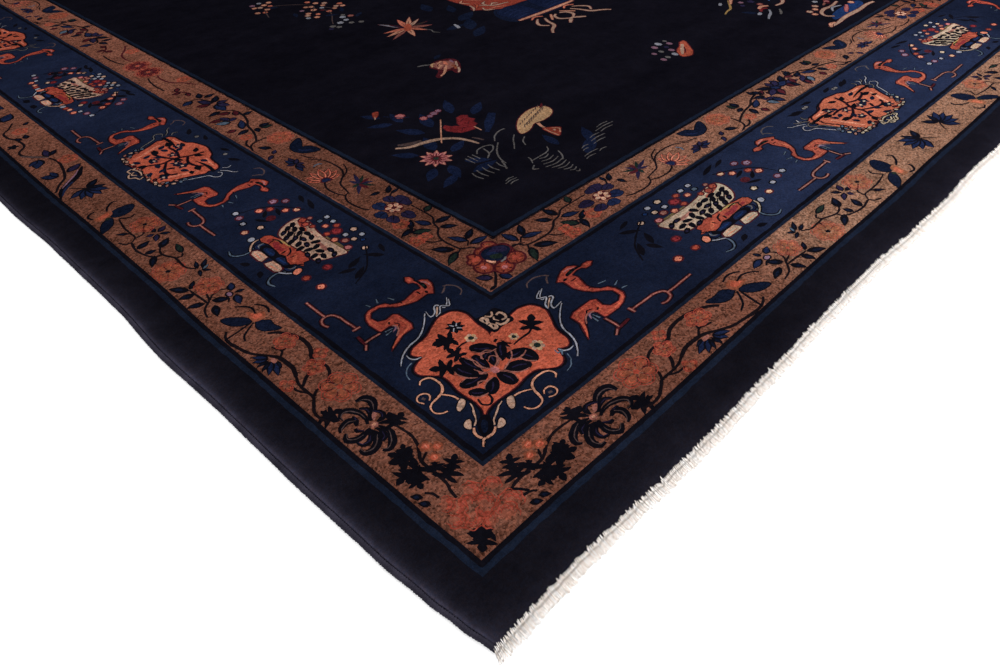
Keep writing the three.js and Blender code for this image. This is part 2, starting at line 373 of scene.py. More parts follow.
def outer_corner(p):
    """The corner of the outer guard: two dark leaves and a peony in nested coral lines"""
    lobed_leaf(p, 'ink', 104 + 112j, 226, 26, 1.3)
    lobed_leaf(p, 'ink', 98 + 126j, 300, 30, 1.2)
    lobed_leaf(p, 'ink', 100 + 108j, 20, 22, 1.2)
    lobes = ((104 + 155j, 17, 30), (109 + 134j, 13, -30), (112 + 174j, 16, 50), (128 + 118j, 16, 190),
             (140 + 106j, 14, 170),
             (134 + 148j, 15, 60), (152 + 118j, 13, 150), (146 + 174j, 12, 40), (158 + 148j, 15, 110),
             (166 + 112j, 12, 130),
             (124 + 138j, 11, 250), (150 + 134j, 10, 10))
    for where, radius, degrees in lobes:
        p.fill('petal', where + turn(degrees) * (scallop(radius * .8, 7, .25) + radius * .1))
    for i, (where, radius, degrees) in enumerate(lobes):
        for ring, (dye, share) in enumerate((('rust', 1), ('russet', .78), ('brick', .58), ('rust', .36))):
            a = np.linspace(degrees - 118 + 9 * ring, degrees + 122 - 14 * ring, 13)
            wiggle = 1 + .11 * np.cos(np.arange(13) * 2.2 + i + 2 * ring)
            p.line(dye, where + radius * share * wiggle * np.array([turn(b) for b in a]), 1.2, 2.5, 1.6, 2.6,
                   1.2)
    p.line('ink', [123 + 186j, 112 + 195j, 105 + 199j], 4, 5, 4)


def round_bloom(p, dye, heart, where, radius, petals, turned=0):
    """A flower of full round petals about a heart"""
    for i in range(petals):
        a = turned + 360 * i / petals
        p.fill(dye, where + turn(a) * (radius * .56 + disc(radius * .42, 9, 3.3 / petals)))
    p.fill(heart, where + disc(radius * .26, 7))


def swell(outline, by):
    """The outline grown outwards"""
    z = np.asarray(outline, complex)
    along = np.roll(z, -1) - np.roll(z, 1)
    area = (z * np.roll(z, -1).conj()).imag.sum()
    return z + math.copysign(1, area) * by * 1j * along / np.maximum(abs(along), 1e-9)


def both(p, dye, edge, width, outline):
    p.fill(edge, swell(outline, width))
    p.fill(dye, outline)


def arc(where, radius, start, stop, squash=1.0):
    """Knots along part of a circle, for a drawn line"""
    a = np.radians(np.linspace(start, stop, 6))
    return where + radius * (np.cos(a) + 1j * squash * np.sin(a))


def shaded_line(p, dyes, knots, *widths):
    """Lines of falling width drawn one over another, as an outlined stroke"""
    for dye, width in zip(dyes, widths):
        p.line(dye, knots, width * .9, width, width, width * .8)


def corner_cartouche(side, end):
    """The coral cartouche that fills the corner of the main border, its peony and its scrolls"""
    half = smooth([233 + 248j, 245 + 257j, 264 + 261j, 282 + 260j, 301 + 260j, 318 + 264j, 338 + 264j,
                   352 + 253j, 366 + 243j, 380 + 248j, 390 + 272j, 396 + 268j, 406 + 264j, 415 + 276j,
                   420 + 306j, 432 + 330j, 441 + 352j, 436 + 377j, 416 + 387j, 388 + 382j, 362 + 380j,
                   346 + 375j], closed=False)
    whole = np.concatenate([side.place(half), end.place(half)[-2:0:-1]])
    side.pattern.append(('ink', swell(whole, 6)))
    side.pattern.append(('maroon', swell(whole, 2)))
    side.pattern.append(('coral', whole))
    for p in (side, end):
        # Scrolls towards the outer edge
        for line, widths in (
                ([197 + 211j, 206 + 220j, 212 + 219j, 218 + 218j, 225 + 220j, 231 + 225j],
                 (1.6, 3.4, 4, 4, 3)),
                ([233 + 228j, 238 + 236j, 245 + 241j, 253 + 246j, 260 + 251j, 268 + 254j],
                 (2.4, 2, 2.6, 1.4)),
                ([280 + 222j, 282 + 214j, 288 + 208j, 296 + 207j, 304 + 211j, 308 + 221j, 310 + 233j,
                  315 + 244j, 323 + 250j,
                  334 + 252j, 346 + 250j, 352 + 243j, 352 + 234j, 347 + 229j], (2, 2.4, 3.4, 3.8, 3.2, 2.2)),
                ([282 + 248j, 291 + 248j, 301 + 244j, 310 + 238j], (3.4, 3, 2.4, 2)),
                ([314 + 209j, 322 + 205j, 330 + 208j, 332 + 216j, 328 + 224j, 319 + 224j, 314 + 218j],
                 (2, 2.4, 2.8, 2))):
            p.line('ink', line, *[w + 3 for w in widths])
            p.line('cream' if widths[0] == 2.4 else 'pinkish', line, *widths)
        both(p, 'cream', 'ink', 2, smooth([267 + 233j, 273 + 233j, 280 + 241j, 284 + 251j, 277 + 253j,
                                           270 + 245j]))
        both(p, 'cream', 'ink', 2, smooth([232 + 221j, 237 + 217j, 244 + 219j, 248 + 226j, 247 + 232j,
                                           242 + 231j, 238 + 227j]))
        p.line('umber', [319 + 215j, 325 + 214j], 4, 5)
        p.line('grey', [366 + 226j, 378 + 230j, 388 + 240j, 392 + 252j], 1.6, 2, 1.6)
        # Pale lines down the far flank
        for line in ([398 + 236j, 408 + 246j, 418 + 260j, 424 + 276j, 428 + 296j, 438 + 314j, 452 + 330j,
                      466 + 344j],
                     [391 + 270j, 394 + 260j, 402 + 256j, 410 + 258j],
                     [468 + 347j, 452 + 344j, 456 + 356j, 467 + 364j, 468 + 371j, 454 + 375j, 460 + 386j,
                      472 + 397j],
                     [446 + 350j, 450 + 362j, 462 + 374j, 452 + 384j, 466 + 396j]):
            p.line('ink', line, 4, 7, 6, 5)
            p.line('pale', line[:-1] + [line[-1] - 1j], 1.6, 2.6, 2.4, 1.6)
        p.line('fawn', [448 + 352j, 456 + 361j, 464 + 368j], 2, 2.4, 2)
    # The peony, drawn once: dark petals round a pink heart, their pink veins, leaves and two pale-eyed
    # flowers
    p = Pen(side.pattern)
    p.fill('ink', smooth([222 + 209j, 232 + 208j, 245 + 213j, 252 + 222j, 256 + 234j, 248 + 240j, 238 + 236j,
                          228 + 227j]))
    p.fill('deep', smooth([228 + 214j, 236 + 215j, 246 + 226j, 244 + 233j, 234 + 226j]))
    petal = smooth([0, .2 - .48j, .62 - .66j, .96 - .4j, 1.03, .94 + .42j, .6 + .64j, .2 + .48j], step=.2)
    for root, tip, width, side_of in (
            (327 + 286j, 329 + 249j, 19, 1), (336 + 282j, 374 + 262j, 20, -1),
            (386 + 258j, 383 + 295j, 20, 1),
            (392 + 288j, 358 + 297j, 16, 1), (316 + 281j, 286 + 260j, 17, -1),
            (288 + 264j, 267 + 284j, 14, 1),
            (314 + 292j, 268 + 301j, 18, -1), (300 + 296j, 289 + 340j, 19, 1),
            (312 + 300j, 308 + 346j, 13, -1),
            (322 + 298j, 326 + 336j, 14, 1), (334 + 294j, 352 + 328j, 15, -1),
            (348 + 296j, 376 + 328j, 14, 1),
            (364 + 322j, 334 + 352j, 18, 1), (331 + 318j, 345 + 324j, 12, 1)):
        along = tip - root
        sideways = 1j * along / abs(along) * width
        p.fill('ink', root + along * petal.real + sideways * petal.imag)
        p.line('rose', [root + along * s + side_of * sideways * h
                        for s, h in ((.04, .1), (.3, .5), (.62, .62), (.9, .4))], 1.6, 2.6, 2.2, 1)
        p.line('violet', [root + along * .3, root + along * .62 + sideways * .1, root + along * .84], 1.6, 3,
               1.6)
    for line in ([336 + 281j, 350 + 286j, 364 + 292j, 374 + 304j, 376 + 318j],
                 [324 + 296j, 318 + 310j, 320 + 326j, 314 + 340j],
                 [332 + 296j, 342 + 301j, 349 + 310j, 343 + 317j, 334 + 312j],
                 [330 + 322j, 337 + 331j, 348 + 331j, 355 + 322j], [322 + 292j, 310 + 300j, 306 + 314j],
                 [302 + 284j, 292 + 290j, 284 + 284j, 276 + 290j]):
        p.line('rose', line, 2.6, 2.4, 1.4)
    p.fill('pink', smooth([321 + 286j, 328 + 283j, 333 + 289j, 331 + 297j, 323 + 297j]))
    for where, degrees, length, wide in ((289 + 339j, 142, 36, 1.0), (311 + 345j, 92, 32, .9),
                                         (336 + 386j, 160, 38, 1.0),
                                         (318 + 378j, 100, 28, 1.0), (428 + 313j, 40, 40, .9),
                                         (384 + 322j, -160, 16, 1.2)):
        lobed_leaf(p, 'ink', where, degrees, length, wide)
    for line, width in (([267 + 266j, 264 + 254j, 272 + 246j, 282 + 252j, 284 + 262j], 4),
                        ([319 + 366j, 336 + 367j, 352 + 365j], 3.6),
                        ([386 + 309j, 404 + 311j, 422 + 311j, 434 + 316j], 4),
                        ([370 + 334j, 378 + 338j], 5)):
        p.line('ink', line, width * .7, width, width)
    for where, radius in ((410 + 282j, 13), (352 + 368j, 11), (400 + 322j, 9)):
        for a in range(6):
            p.dot('fawn' if a % 2 else 'buff', where + radius * .6 * turn(60 * a + 10), radius * .36, 7)
        p.dot('green', where, radius * .46, 7)
    for a in range(8):
        p.leaf('ink', 353 + 405j, 45 * a + 12, 17, 9)
    for a in (20, 95, 200, 290):
        p.line('pale', [353 + 405j + 3 * turn(a), 353 + 405j + 11 * turn(a + 14)], 2.6, 1.6)
    p = side
    p.line('grey', [240 + 420j, 248 + 427j, 247 + 418j, 256 + 420j], 2.4, 3, 2)
    # The cream butterfly in the cartouche's inner notch, drawn once
    p = Pen(side.pattern)
    p.fill('ink', smooth([387 + 350j, 408 + 352j, 430 + 350j, 434 + 372j, 430 + 394j, 408 + 393j, 386 + 395j,
                          386 + 372j]))
    p.fill('fawn', smooth([391 + 356j, 400 + 355j, 403 + 362j, 398 + 372j, 404 + 381j, 400 + 391j,
                           391 + 390j, 392 + 372j]))
    for line, width in (([405 + 366j, 407 + 357j, 417 + 354j, 426 + 358j], 5),
                        ([416 + 364j, 425 + 363j, 429 + 371j, 427 + 380j, 419 + 379j], 4.6),
                        ([404 + 390j, 409 + 383j, 415 + 384j, 419 + 391j], 4),
                        ([412 + 366j, 409 + 374j, 413 + 379j], 3)):
        p.line('fawn', line, width * .7, width, width * .8)
    for line in ([395 + 360j, 398 + 366j], [394 + 378j, 397 + 385j], [391 + 371j, 397 + 372j]):
        p.line('ink', line, 2.2, 2.6)


def dragon(p):
    """A fret dragon that looks away from its cartouche. Its frame starts at the border's outer edge."""
    body = np.array([2 + 61j, 10 + 66j, 22 + 84j, 32 + 98j, 40 + 105j, 47 + 104j, 51 + 96j, 50 + 80j,
                     54 + 76j, 78 + 75j,
                     92 + 79j, 104 + 87j, 110 + 98j, 110 + 116j, 105 + 130j, 96 + 135j, 90 + 145j, 88 + 158j,
                     92 + 172j,
                     95 + 185j, 93 + 196j, 104 + 199j, 112 + 197j, 116 + 190j, 127 + 190j, 137 + 198j,
                     131 + 206j,
                     121 + 207j, 114 + 204j, 111 + 215j, 102 + 223j, 88 + 221j, 75 + 213j, 63 + 203j,
                     70 + 195j,
                     68 + 170j, 73 + 152j, 81 + 136j, 92 + 126j, 100 + 115j, 99 + 99j, 90 + 91j, 76 + 93j,
                     71 + 103j,
                     74 + 121j, 66 + 128j, 32 + 128j, 20 + 121j, 19 + 99j, 12 + 85j])
    for dye, inset in (('ink', -1.2), ('maroon', 0.8), ('brick', 2.8)):
        p.fill(dye, swell(body, -inset))
    for line in ([8 + 68j, 20 + 88j, 26 + 108j, 34 + 120j, 60 + 120j], [82 + 142j, 78 + 158j, 81 + 180j],
                 [58 + 84j, 80 + 83j, 96 + 87j, 104 + 100j], [58 + 92j, 64 + 110j],
                 [80 + 212j, 90 + 216j, 102 + 216j], [120 + 198j, 128 + 198j]):
        p.line('coral', line, 2, 4, 2)
    for line in ([40 + 104j, 46 + 112j, 54 + 108j], [56 + 100j, 62 + 104j], [84 + 150j, 92 + 146j],
                 [80 + 186j, 90 + 186j]):
        p.line('ink', line, 2, 3, 2)
    p.line('mauve', [38 + 92j, 42 + 102j, 50 + 104j], 2, 3, 2)
    # Jaws, eye and claws
    p.fill('ink', smooth([84 + 200j, 96 + 202j, 110 + 203j, 118 + 201j, 110 + 208j, 98 + 210j, 86 + 207j]))
    p.dot('green', 95 + 205j, 3.4, 6)
    p.fill('ink', 77 + 197j + disc(4.2, 6, .7))
    p.line('pink', [88 + 214j, 98 + 214j, 106 + 209j], 2.4, 4, 3)
    p.line('rose', [26 + 90j, 34 + 101j, 44 + 106j, 51 + 102j], 2, 3, 3)
    for line in ([40 + 80j, 41 + 94j], [47 + 84j, 45 + 98j], [114 + 108j, 123 + 105j],
                 [113 + 122j, 123 + 127j],
                 [100 + 146j, 112 + 142j]):
        p.line('ink', line, 5, 5)
        p.line('grey', line, 3, 1.6)
    # The stem from its back, the hooked fret and a faint curl below
    for line in ([50 + 78j, 50 + 58j, 50 + 40j], [34 + 36j, 44 + 44j, 50 + 50j],
                 [44 + 44j, 56 + 45j, 70 + 47j]):
        shaded_line(p, ('ink', 'maroon'), line, 10, 5)
    for line in ([50 + 76j, 50 + 58j, 49 + 46j], [34 + 36j, 44 + 44j]):
        p.line('rose', line, 2.6, 2.6)
    hook = [87 + 58j, 112 + 57j, 132 + 56j, 144 + 50j, 147 + 40j, 143 + 31j, 132 + 27j, 122 + 30j]
    tail = [147 + 41j, 170 + 41j, 201 + 42j]
    for line in (hook, tail, [86 + 50j, 86 + 65j]):
        p.line('ink', line, 10, 10, 10)
    for line in (hook, tail, [86 + 50j, 86 + 65j]):
        p.line('maroon', line, 6, 6, 6)
        p.line('rose', line, 2.6, 3, 2.6)
    for line in ([30 + 230j, 37 + 240j, 51 + 242j, 64 + 235j, 69 + 226j], [55 + 212j, 60 + 221j, 66 + 228j]):
        p.line('umber', line, 2, 3.4, 2.6)


BOWL_MARKS = ((-68, 128, 30), (-50, 132, 70), (-62, 144, 10), (-38, 126, 20), (-26, 136, 100),
              (-44, 148, 150),
              (-72, 160, 40), (-28, 152, 60), (-12, 128, 80), (-10, 144, 20), (-14, 160, 110), (2, 134, 50),
              (10, 150, 0), (4, 164, 30), (18, 128, 60), (24, 142, 40), (32, 156, 50), (20, 166, 0),
              (36, 130, 50),
              (42, 144, 45), (50, 158, 30), (54, 136, 50), (62, 150, 50), (66, 164, 30), (-56, 164, 0),
              (40, 168, 10))


def vase(p):
    """A footed bowl on its side edge, full of blossom, its frame at the middle of the border's edge"""
    for s in (-1, 1):
        curl = [s * 76 + 34j, s * 62 + 30j, s * 51 + 38j, s * 46 + 54j, s * 52 + 70j]
        p.line('ink', curl, 5, 9, 9, 8, 6)
        p.line('grey', curl, 2, 3, 3, 3, 2)
        loop = [s * 46 + 60j, s * 58 + 68j, s * 68 + 80j, s * 70 + 92j]
        p.line('ink', loop, 8, 9, 8, 6)
        p.line('fawn' if s > 0 else 'pale', loop, 3, 3.4, 3, 2)
        both(p, 'blue', 'ink', 2.4, smooth([s * 42 + 74j, s * 54 + 74j, s * 58 + 86j, s * 48 + 92j,
                                            s * 40 + 86j]))
        p.line('grey', [s * 44 + 78j, s * 52 + 80j, s * 52 + 88j], 2, 2.4)
        both(p, 'cream', 'maroon', 3.6, np.array([s * 5 + 58j, s * 13 + 56j, s * 38 + 57j, s * 44 + 63j,
                                                  s * 40 + 71j, s * 30 + 74j,
                                                  s * 9 + 73j]))
        p.line('pinkish', [s * 10 + 70j, s * 24 + 71j, s * 36 + 69j], 2, 4, 2)
        p.line('salmon', [s * 12 + 61j, s * 26 + 62j, s * 38 + 63j], 1, 3, 1)
    p.fill('ink', smooth([-44 + 76j, 0 + 74j, 42 + 76j, 44 + 92j, 0 + 96j, -46 + 92j]))
    for s in (-1, 1):
        p.fill('blue', smooth([s * 6 + 79j, s * 20 + 78j, s * 36 + 80j, s * 36 + 88j, s * 22 + 92j,
                               s * 8 + 88j]))
        p.line('royal', [s * 8 + 84j, s * 20 + 83j, s * 32 + 85j], 2, 4, 2)
        p.line('mist', [s * 48 + 78j, s * 54 + 84j, s * 52 + 92j], 2, 2.6, 2)
    both(p, 'salmon', 'ink', 2.6, smooth([-74 + 78j, -66 + 76j, -60 + 86j, -64 + 94j, -72 + 90j]))
    both(p, 'pale', 'ink', 2.6, smooth([76 + 76j, 84 + 78j, 86 + 86j, 80 + 90j, 74 + 84j]))
    both(p, 'rust', 'ink', 2.6, np.array([-62 + 101j, -46 + 96j, -40 + 88j, -28 + 90j, -12 + 97j, 2 + 93j,
                                          14 + 95j, 44 + 97j,
                                        60 + 92j, 70 + 95j, 72 + 106j, 66 + 115j, 46 + 119j, 28 + 126j,
                                        -2 + 129j, -20 + 124j,
                                        -36 + 126j, -54 + 118j, -52 + 108j]))
    for line, dye, width in (([-40 + 94j, -30 + 104j, -20 + 112j], 'coral', 7),
                             ([-48 + 112j, -34 + 119j, -12 + 121j], 'brick', 7),
                             ([8 + 120j, 28 + 120j, 44 + 114j], 'ochre', 6),
                             ([-20 + 98j, -4 + 104j, 10 + 116j], 'brick', 5),
                             ([6 + 104j, 22 + 102j, 40 + 108j], 'red', 12),
                             ([46 + 102j, 58 + 104j], 'red', 7),
                             ([-14 + 98j, -8 + 110j, 4 + 116j], 'ink', 4),
                             ([-58 + 104j, -50 + 98j], 'ink', 3),
                             ([24 + 114j, 40 + 116j, 52 + 110j], 'ink', 4),
                             ([-22 + 100j, -24 + 110j], 'ink', 3),
                             ([0 + 96j, 2 + 106j], 'ink', 4), ([44 + 98j, 48 + 110j], 'ink', 3)):
        p.line(dye, line, width * .7, width, width * .8)
    bowl = smooth([-60 + 125j, -30 + 128j, 0 + 124j, 28 + 124j, 54 + 126j, 68 + 138j, 76 + 154j, 80 + 172j,
                   76 + 188j,
                   62 + 192j, 36 + 188j, 14 + 182j, -20 + 179j, -50 + 180j, -82 + 180j, -82 + 168j,
                   -76 + 150j, -70 + 136j])
    both(p, 'fawn', 'maroon', 3.0, bowl)
    p.line('rose', [-66 + 163j, -40 + 160j, -12 + 164j], 4, 9, 5)
    p.line('rust', [30 + 170j, 50 + 174j, 70 + 180j], 4, 8, 6)
    for line in ([-74 + 176j, -40 + 168j, -6 + 172j], [60 + 134j, 72 + 156j, 74 + 176j],
                 [-72 + 142j, -62 + 132j, -44 + 130j]):
        p.line('cream', line, 4, 7, 4)
    for i, (x, y, degrees) in enumerate(BOWL_MARKS):
        where = x + 1j * y
        p.fill('ink', where + turn(degrees) * 1.25 * smooth([-8, -2 - 4.6j, 7 - 3j, 8 + 2j, 0 + 4.4j]))
        if i % 3 == 0:
            p.dot('violet', where, 2.8, 6)
        if i % 4 == 1:
            p.line('rose', [where - 6 + 8j, where + 4 + 9j], 2.4, 2)
    for line in ([-2 + 126j, 8 + 140j, 20 + 150j, 30 + 162j], [14 + 126j, 26 + 138j, 40 + 152j],
                 [34 + 126j, 50 + 144j, 64 + 156j]):
        p.line('ink', line, 2.4, 3, 2)
    p.line('olive', [-82 + 184j, -50 + 184j, -14 + 183j], 4, 7, 4)
    for x, y, radius, dye in (
            (-72, 190, 9, 'pink'), (-34, 188, 9, 'salmon'), (-50, 200, 9, 'rose'), (-8, 190, 8, 'rust'),
            (50, 182, 9, 'brick'),
            (66, 186, 10, 'rust'), (34, 186, 7, 'rust'), (-13, 208, 13, 'red'), (3, 220, 8, 'rust'),
            (-58, 214, 8, 'cream'),
            (-35, 212, 8, 'pale'), (-56, 234, 8, 'pale'), (-31, 234, 9, 'cream'), (17, 204, 8, 'salmon'),
            (39, 207, 8, 'grey'),
            (20, 224, 8, 'pale'), (41, 225, 8, 'pale'), (-96, 210, 8, 'cream'), (-72, 224, 6, 'royal'),
            (-134, 87, 10, 'salmon'),
            (-95, 84, 9, 'rust'), (-95, 128, 10, 'red'), (110, 87, 9, 'pinkish'), (139, 101, 8, 'pale'),
            (162, 107, 9, 'mauve'),
            (182, 111, 9, 'pale'), (103, 117, 9, 'cream'), (117, 149, 10, 'maroon'),
            (157, 148, 10, 'salmon'),
            (147, 166, 9, 'rust'), (121, 184, 9, 'salmon'), (107, 201, 9, 'pinkish'),
            (167, 186, 11, 'mauve'),
            (151, 204, 9, 'mauve'), (62, 200, 6, 'rose')):
        where = x + 1j * y
        p.fill('ink' if dye in ('pale', 'grey', 'cream', 'royal') else 'maroon',
               where + disc(radius * .9 + 1.2, 8))
        p.fill(dye, where + turn(17 * radius + x) * scallop(radius * .66, 4 + radius % 2, .2))
        if radius > 9:
            p.dot('maroon', where + 2 - 1j, 1.8, 5)
    for where, degrees, length, wide in ((-160 + 140j, 60, 40, 12), (-136 + 160j, -70, 34, 11),
                                         (-126 + 150j, 70, 40, 12),
                                         (-140 + 220j, -40, 40, 12), (-104 + 236j, 200, 30, 10),
                                         (84 + 224j, 20, 44, 11),
                                         (150 + 236j, 200, 34, 10), (-18 + 40j, 210, 22, 12),
                                         (10 + 38j, -30, 22, 12),
                                         (136 + 124j, 150, 34, 9), (128 + 140j, 40, 30, 9),
                                         (140 + 176j, 200, 30, 9)):
        p.leaf('ink', where, degrees, length, wide)
    p.line('ink', [-170 + 132j, -150 + 170j, -120 + 196j, -92 + 214j], 3, 3.4, 3.4, 3)
    p.line('ink', [96 + 212j, 124 + 196j, 150 + 176j, 168 + 150j, 176 + 120j], 3, 3, 3, 2)


def bell_cartouche(p):
    """The bell-shaped coral panel at the middle of a run, its frame at the border's outer edge"""
    half = [0 + 60j, -30 + 61j, -60 + 58j, -82 + 64j, -84 + 84j, -88 + 106j, -96 + 130j, -106 + 152j,
            -102 + 162j,
            -108 + 178j, -96 + 188j, -70 + 190j, -52 + 194j, -40 + 204j, -20 + 210j, 0 + 214j]
    z = smooth([*half, *[-w.conjugate() for w in half[-2:0:-1]]])
    p.fill('ink', swell(z, 5))
    p.fill('maroon', swell(z, 1.8))
    p.fill('coral', z)
    for s in (-1, 1):
        # Cloud scrolls at the shoulders, spots of fringe along the outer edge and a dark gap above the skirt
        for line in ([s * 96 + 100j, s * 106 + 116j, s * 114 + 134j, s * 122 + 152j, s * 136 + 158j,
                      s * 142 + 168j,
                      s * 132 + 178j, s * 122 + 172j],
                     [s * 120 + 180j, s * 132 + 190j, s * 146 + 196j, s * 152 + 204j],
                     [s * 112 + 190j, s * 120 + 198j, s * 116 + 208j]):
            p.line('ink', line, 5, 7, 7, 5)
            p.line('mist' if s > 0 else 'pale', line, 1.4, 2.4, 2.4, 1.4)
        both(p, 'mist', 'ink', 2, s * 62 + 226j + disc(5, 7))
        p.leaf('ink', s * 84 + 218j, 90 - s * 60, 34, 12)
        p.leaf('ink', s * 30 + 232j, 90 - s * 70, 28, 10)
        p.line('ink', [s * 114 + 170j, s * 90 + 172j, s * 64 + 170j, s * 42 + 165j], 8, 9, 6, 2)
        p.line('salmon', [s * 62 + 76j, s * 68 + 98j, s * 78 + 124j, s * 86 + 148j], 4, 8, 5)
        p.line('salmon', [s * 92 + 182j, s * 70 + 183j, s * 48 + 188j], 3, 5, 3)
        for i, (x, y) in enumerate(((84, 62), (96, 72), (84, 78), (98, 86), (90, 96), (102, 100), (72, 60),
                                    (78, 72), (98, 112))):
            p.fill('ink', s * x + 1j * y + turn(40 * i) * disc(8, 7, .7))
            p.fill(('cream', 'rose', 'grey')[i % 3], s * x + 1j * y + turn(40 * i) * disc(5, 6, .6))
    for i, x in enumerate(range(-66, 76, 11)):
        where = x + 1j * (62 + 5 * math.sin(2.1 * i))
        p.fill('ink', where + turn(30 * i) * disc(8, 7, .7))
        p.fill(('cream', 'maroon', 'fawn', 'rose')[i % 4], where + turn(30 * i) * disc(5, 6, .65))
    for line in ([-24 + 56j, -28 + 46j, -16 + 43j, -9 + 33j, 2 + 36j, 9 + 44j, 22 + 43j, 26 + 54j],
                 [-8 + 50j, 2 + 43j, 10 + 52j],
                 [-16 + 56j, -6 + 60j, 8 + 60j, 18 + 56j]):
        p.line('ink', line, 6, 9, 6)
        p.line('fawn', line, 2.6, 3.6, 2.6)
    # A dark flowering branch
    for line in ([-18 + 200j, -12 + 170j, 2 + 140j, 0 + 110j, 14 + 84j, 10 + 68j],
                 [2 + 140j, 24 + 126j, 52 + 118j, 70 + 122j],
                 [0 + 120j, -24 + 104j, -44 + 96j, -60 + 100j],
                 [-8 + 166j, -36 + 152j, -62 + 156j, -76 + 166j],
                 [0 + 150j, 30 + 158j, 62 + 156j], [-60 + 100j, -66 + 112j], [-30 + 106j, -38 + 120j]):
        p.line('maroon', line, 6, 8, 6)
        p.line('ink', line, 3.4, 5, 3)
    for where, degrees, length, wide in ((14 + 84j, -60, 22, 10), (6 + 100j, 190, 20, 10),
                                         (46 + 120j, 14, 26, 12),
                                         (26 + 126j, -50, 20, 10), (-44 + 96j, 210, 24, 11),
                                         (-26 + 106j, 250, 20, 10),
                                         (-62 + 156j, 190, 24, 12), (-36 + 152j, 240, 22, 10),
                                         (60 + 160j, 10, 26, 12),
                                         (30 + 160j, 60, 20, 10), (-14 + 176j, 140, 22, 10),
                                         (2 + 136j, 150, 24, 10),
                                         (-6 + 186j, 30, 22, 10), (18 + 96j, 20, 22, 10),
                                         (-54 + 124j, 150, 20, 9),
                                         (-30 + 122j, 80, 20, 9), (66 + 136j, 60, 20, 10),
                                         (44 + 146j, -20, 20, 9),
                                         (-74 + 138j, 200, 16, 9), (34 + 78j, -20, 20, 9),
                                         (-18 + 76j, 220, 20, 9),
                                         (-44 + 78j, 120, 18, 9), (50 + 92j, 70, 20, 9),
                                         (38 + 182j, 10, 22, 9), (-44 + 176j, 160, 20, 9)):
        p.leaf('ink' if length != 20 else 'deep', where, degrees, 1.1 * length, 1.3 * wide)
    for where in (-20 + 132j, 24 + 104j, 22 + 146j, -40 + 136j, 50 + 174j, -58 + 84j):
        round_bloom(p, 'deep', 'cream', where, 13, 5, 20)


def main_border(p, reach):
    """The main border of one arm, without its corner"""
    dragon(p.at(430 + 186j))
    vase(p.at(783 + 184j))
    dragon(p.at(1127 + 186j, flip=True))
    bell_cartouche(p.at(1262 + 184j))
    if reach > 1300:
        dragon(p.at(1372 + 186j))
        vase(p.at(1800 + 184j))


def lotus(p, where, degrees, size):
    """Pointed petals in outline round a short heart, open to one side"""
    q = p.at(where, degrees, size)
    for a, reach, wide in ((-78, 32, 14), (78, 32, 14), (-52, 38, 15), (52, 38, 15), (-26, 42, 14),
                           (26, 42, 14), (0, 44, 15)):
        for dye, start, short, slim in (('maroon', 0, 0, -2), ('salmon', 3, 5, 1.5), ('rust', 6, 9, 5),
                                        ('tan', 9, 16, 7.5)):
            q.fill(dye, turn(a) * (start + leaf_outline(reach - short, wide - slim)))
    q.fill('maroon', smooth([-8 - 9j, 5 - 7j, 8 + 5j, -6 + 11j]))
    q.fill('blue', smooth([-7 - 6j, 3 - 5j, 5 + 3j, -5 + 8j]))


def blue_bloom(p, where):
    """Dark blue and violet petals round a cream heart with maroon strokes"""
    for at, radius, squash, dye in ((-3 - 34j, 15, .8, 'blue'), (24 - 16j, 17, .8, 'blue'),
                                    (10 + 30j, 24, .56, 'violet'),
                                    (-40 + 3j, 17, .75, 'violet'), (-32 - 28j, 15, .8, 'violet'),
                                    (32 + 14j, 14, .8, 'violet')):
        both(p, dye, 'ink', 1.4,
             where + at + scallop(radius, 3, .2) .real + 1j * squash * scallop(radius, 3, .2).imag)
        p.line('ink', [where + at * .6, where + at * 1.15], 2, 1.4)
    p.fill('maroon', where + disc(19, 12))
    for a in (-120, -60, 0, 60, 120, 180):
        p.fill('pinkish', where + turn(a) * (11 + disc(6.5, 7, .8)))
        p.fill('cream', where + turn(a) * (11 + disc(3.6, 6, .8)))
    for a in (-90, 30, 150):
        p.line('maroon', [where + 3 * turn(a), where + 15 * turn(a)], 2.6, 2)


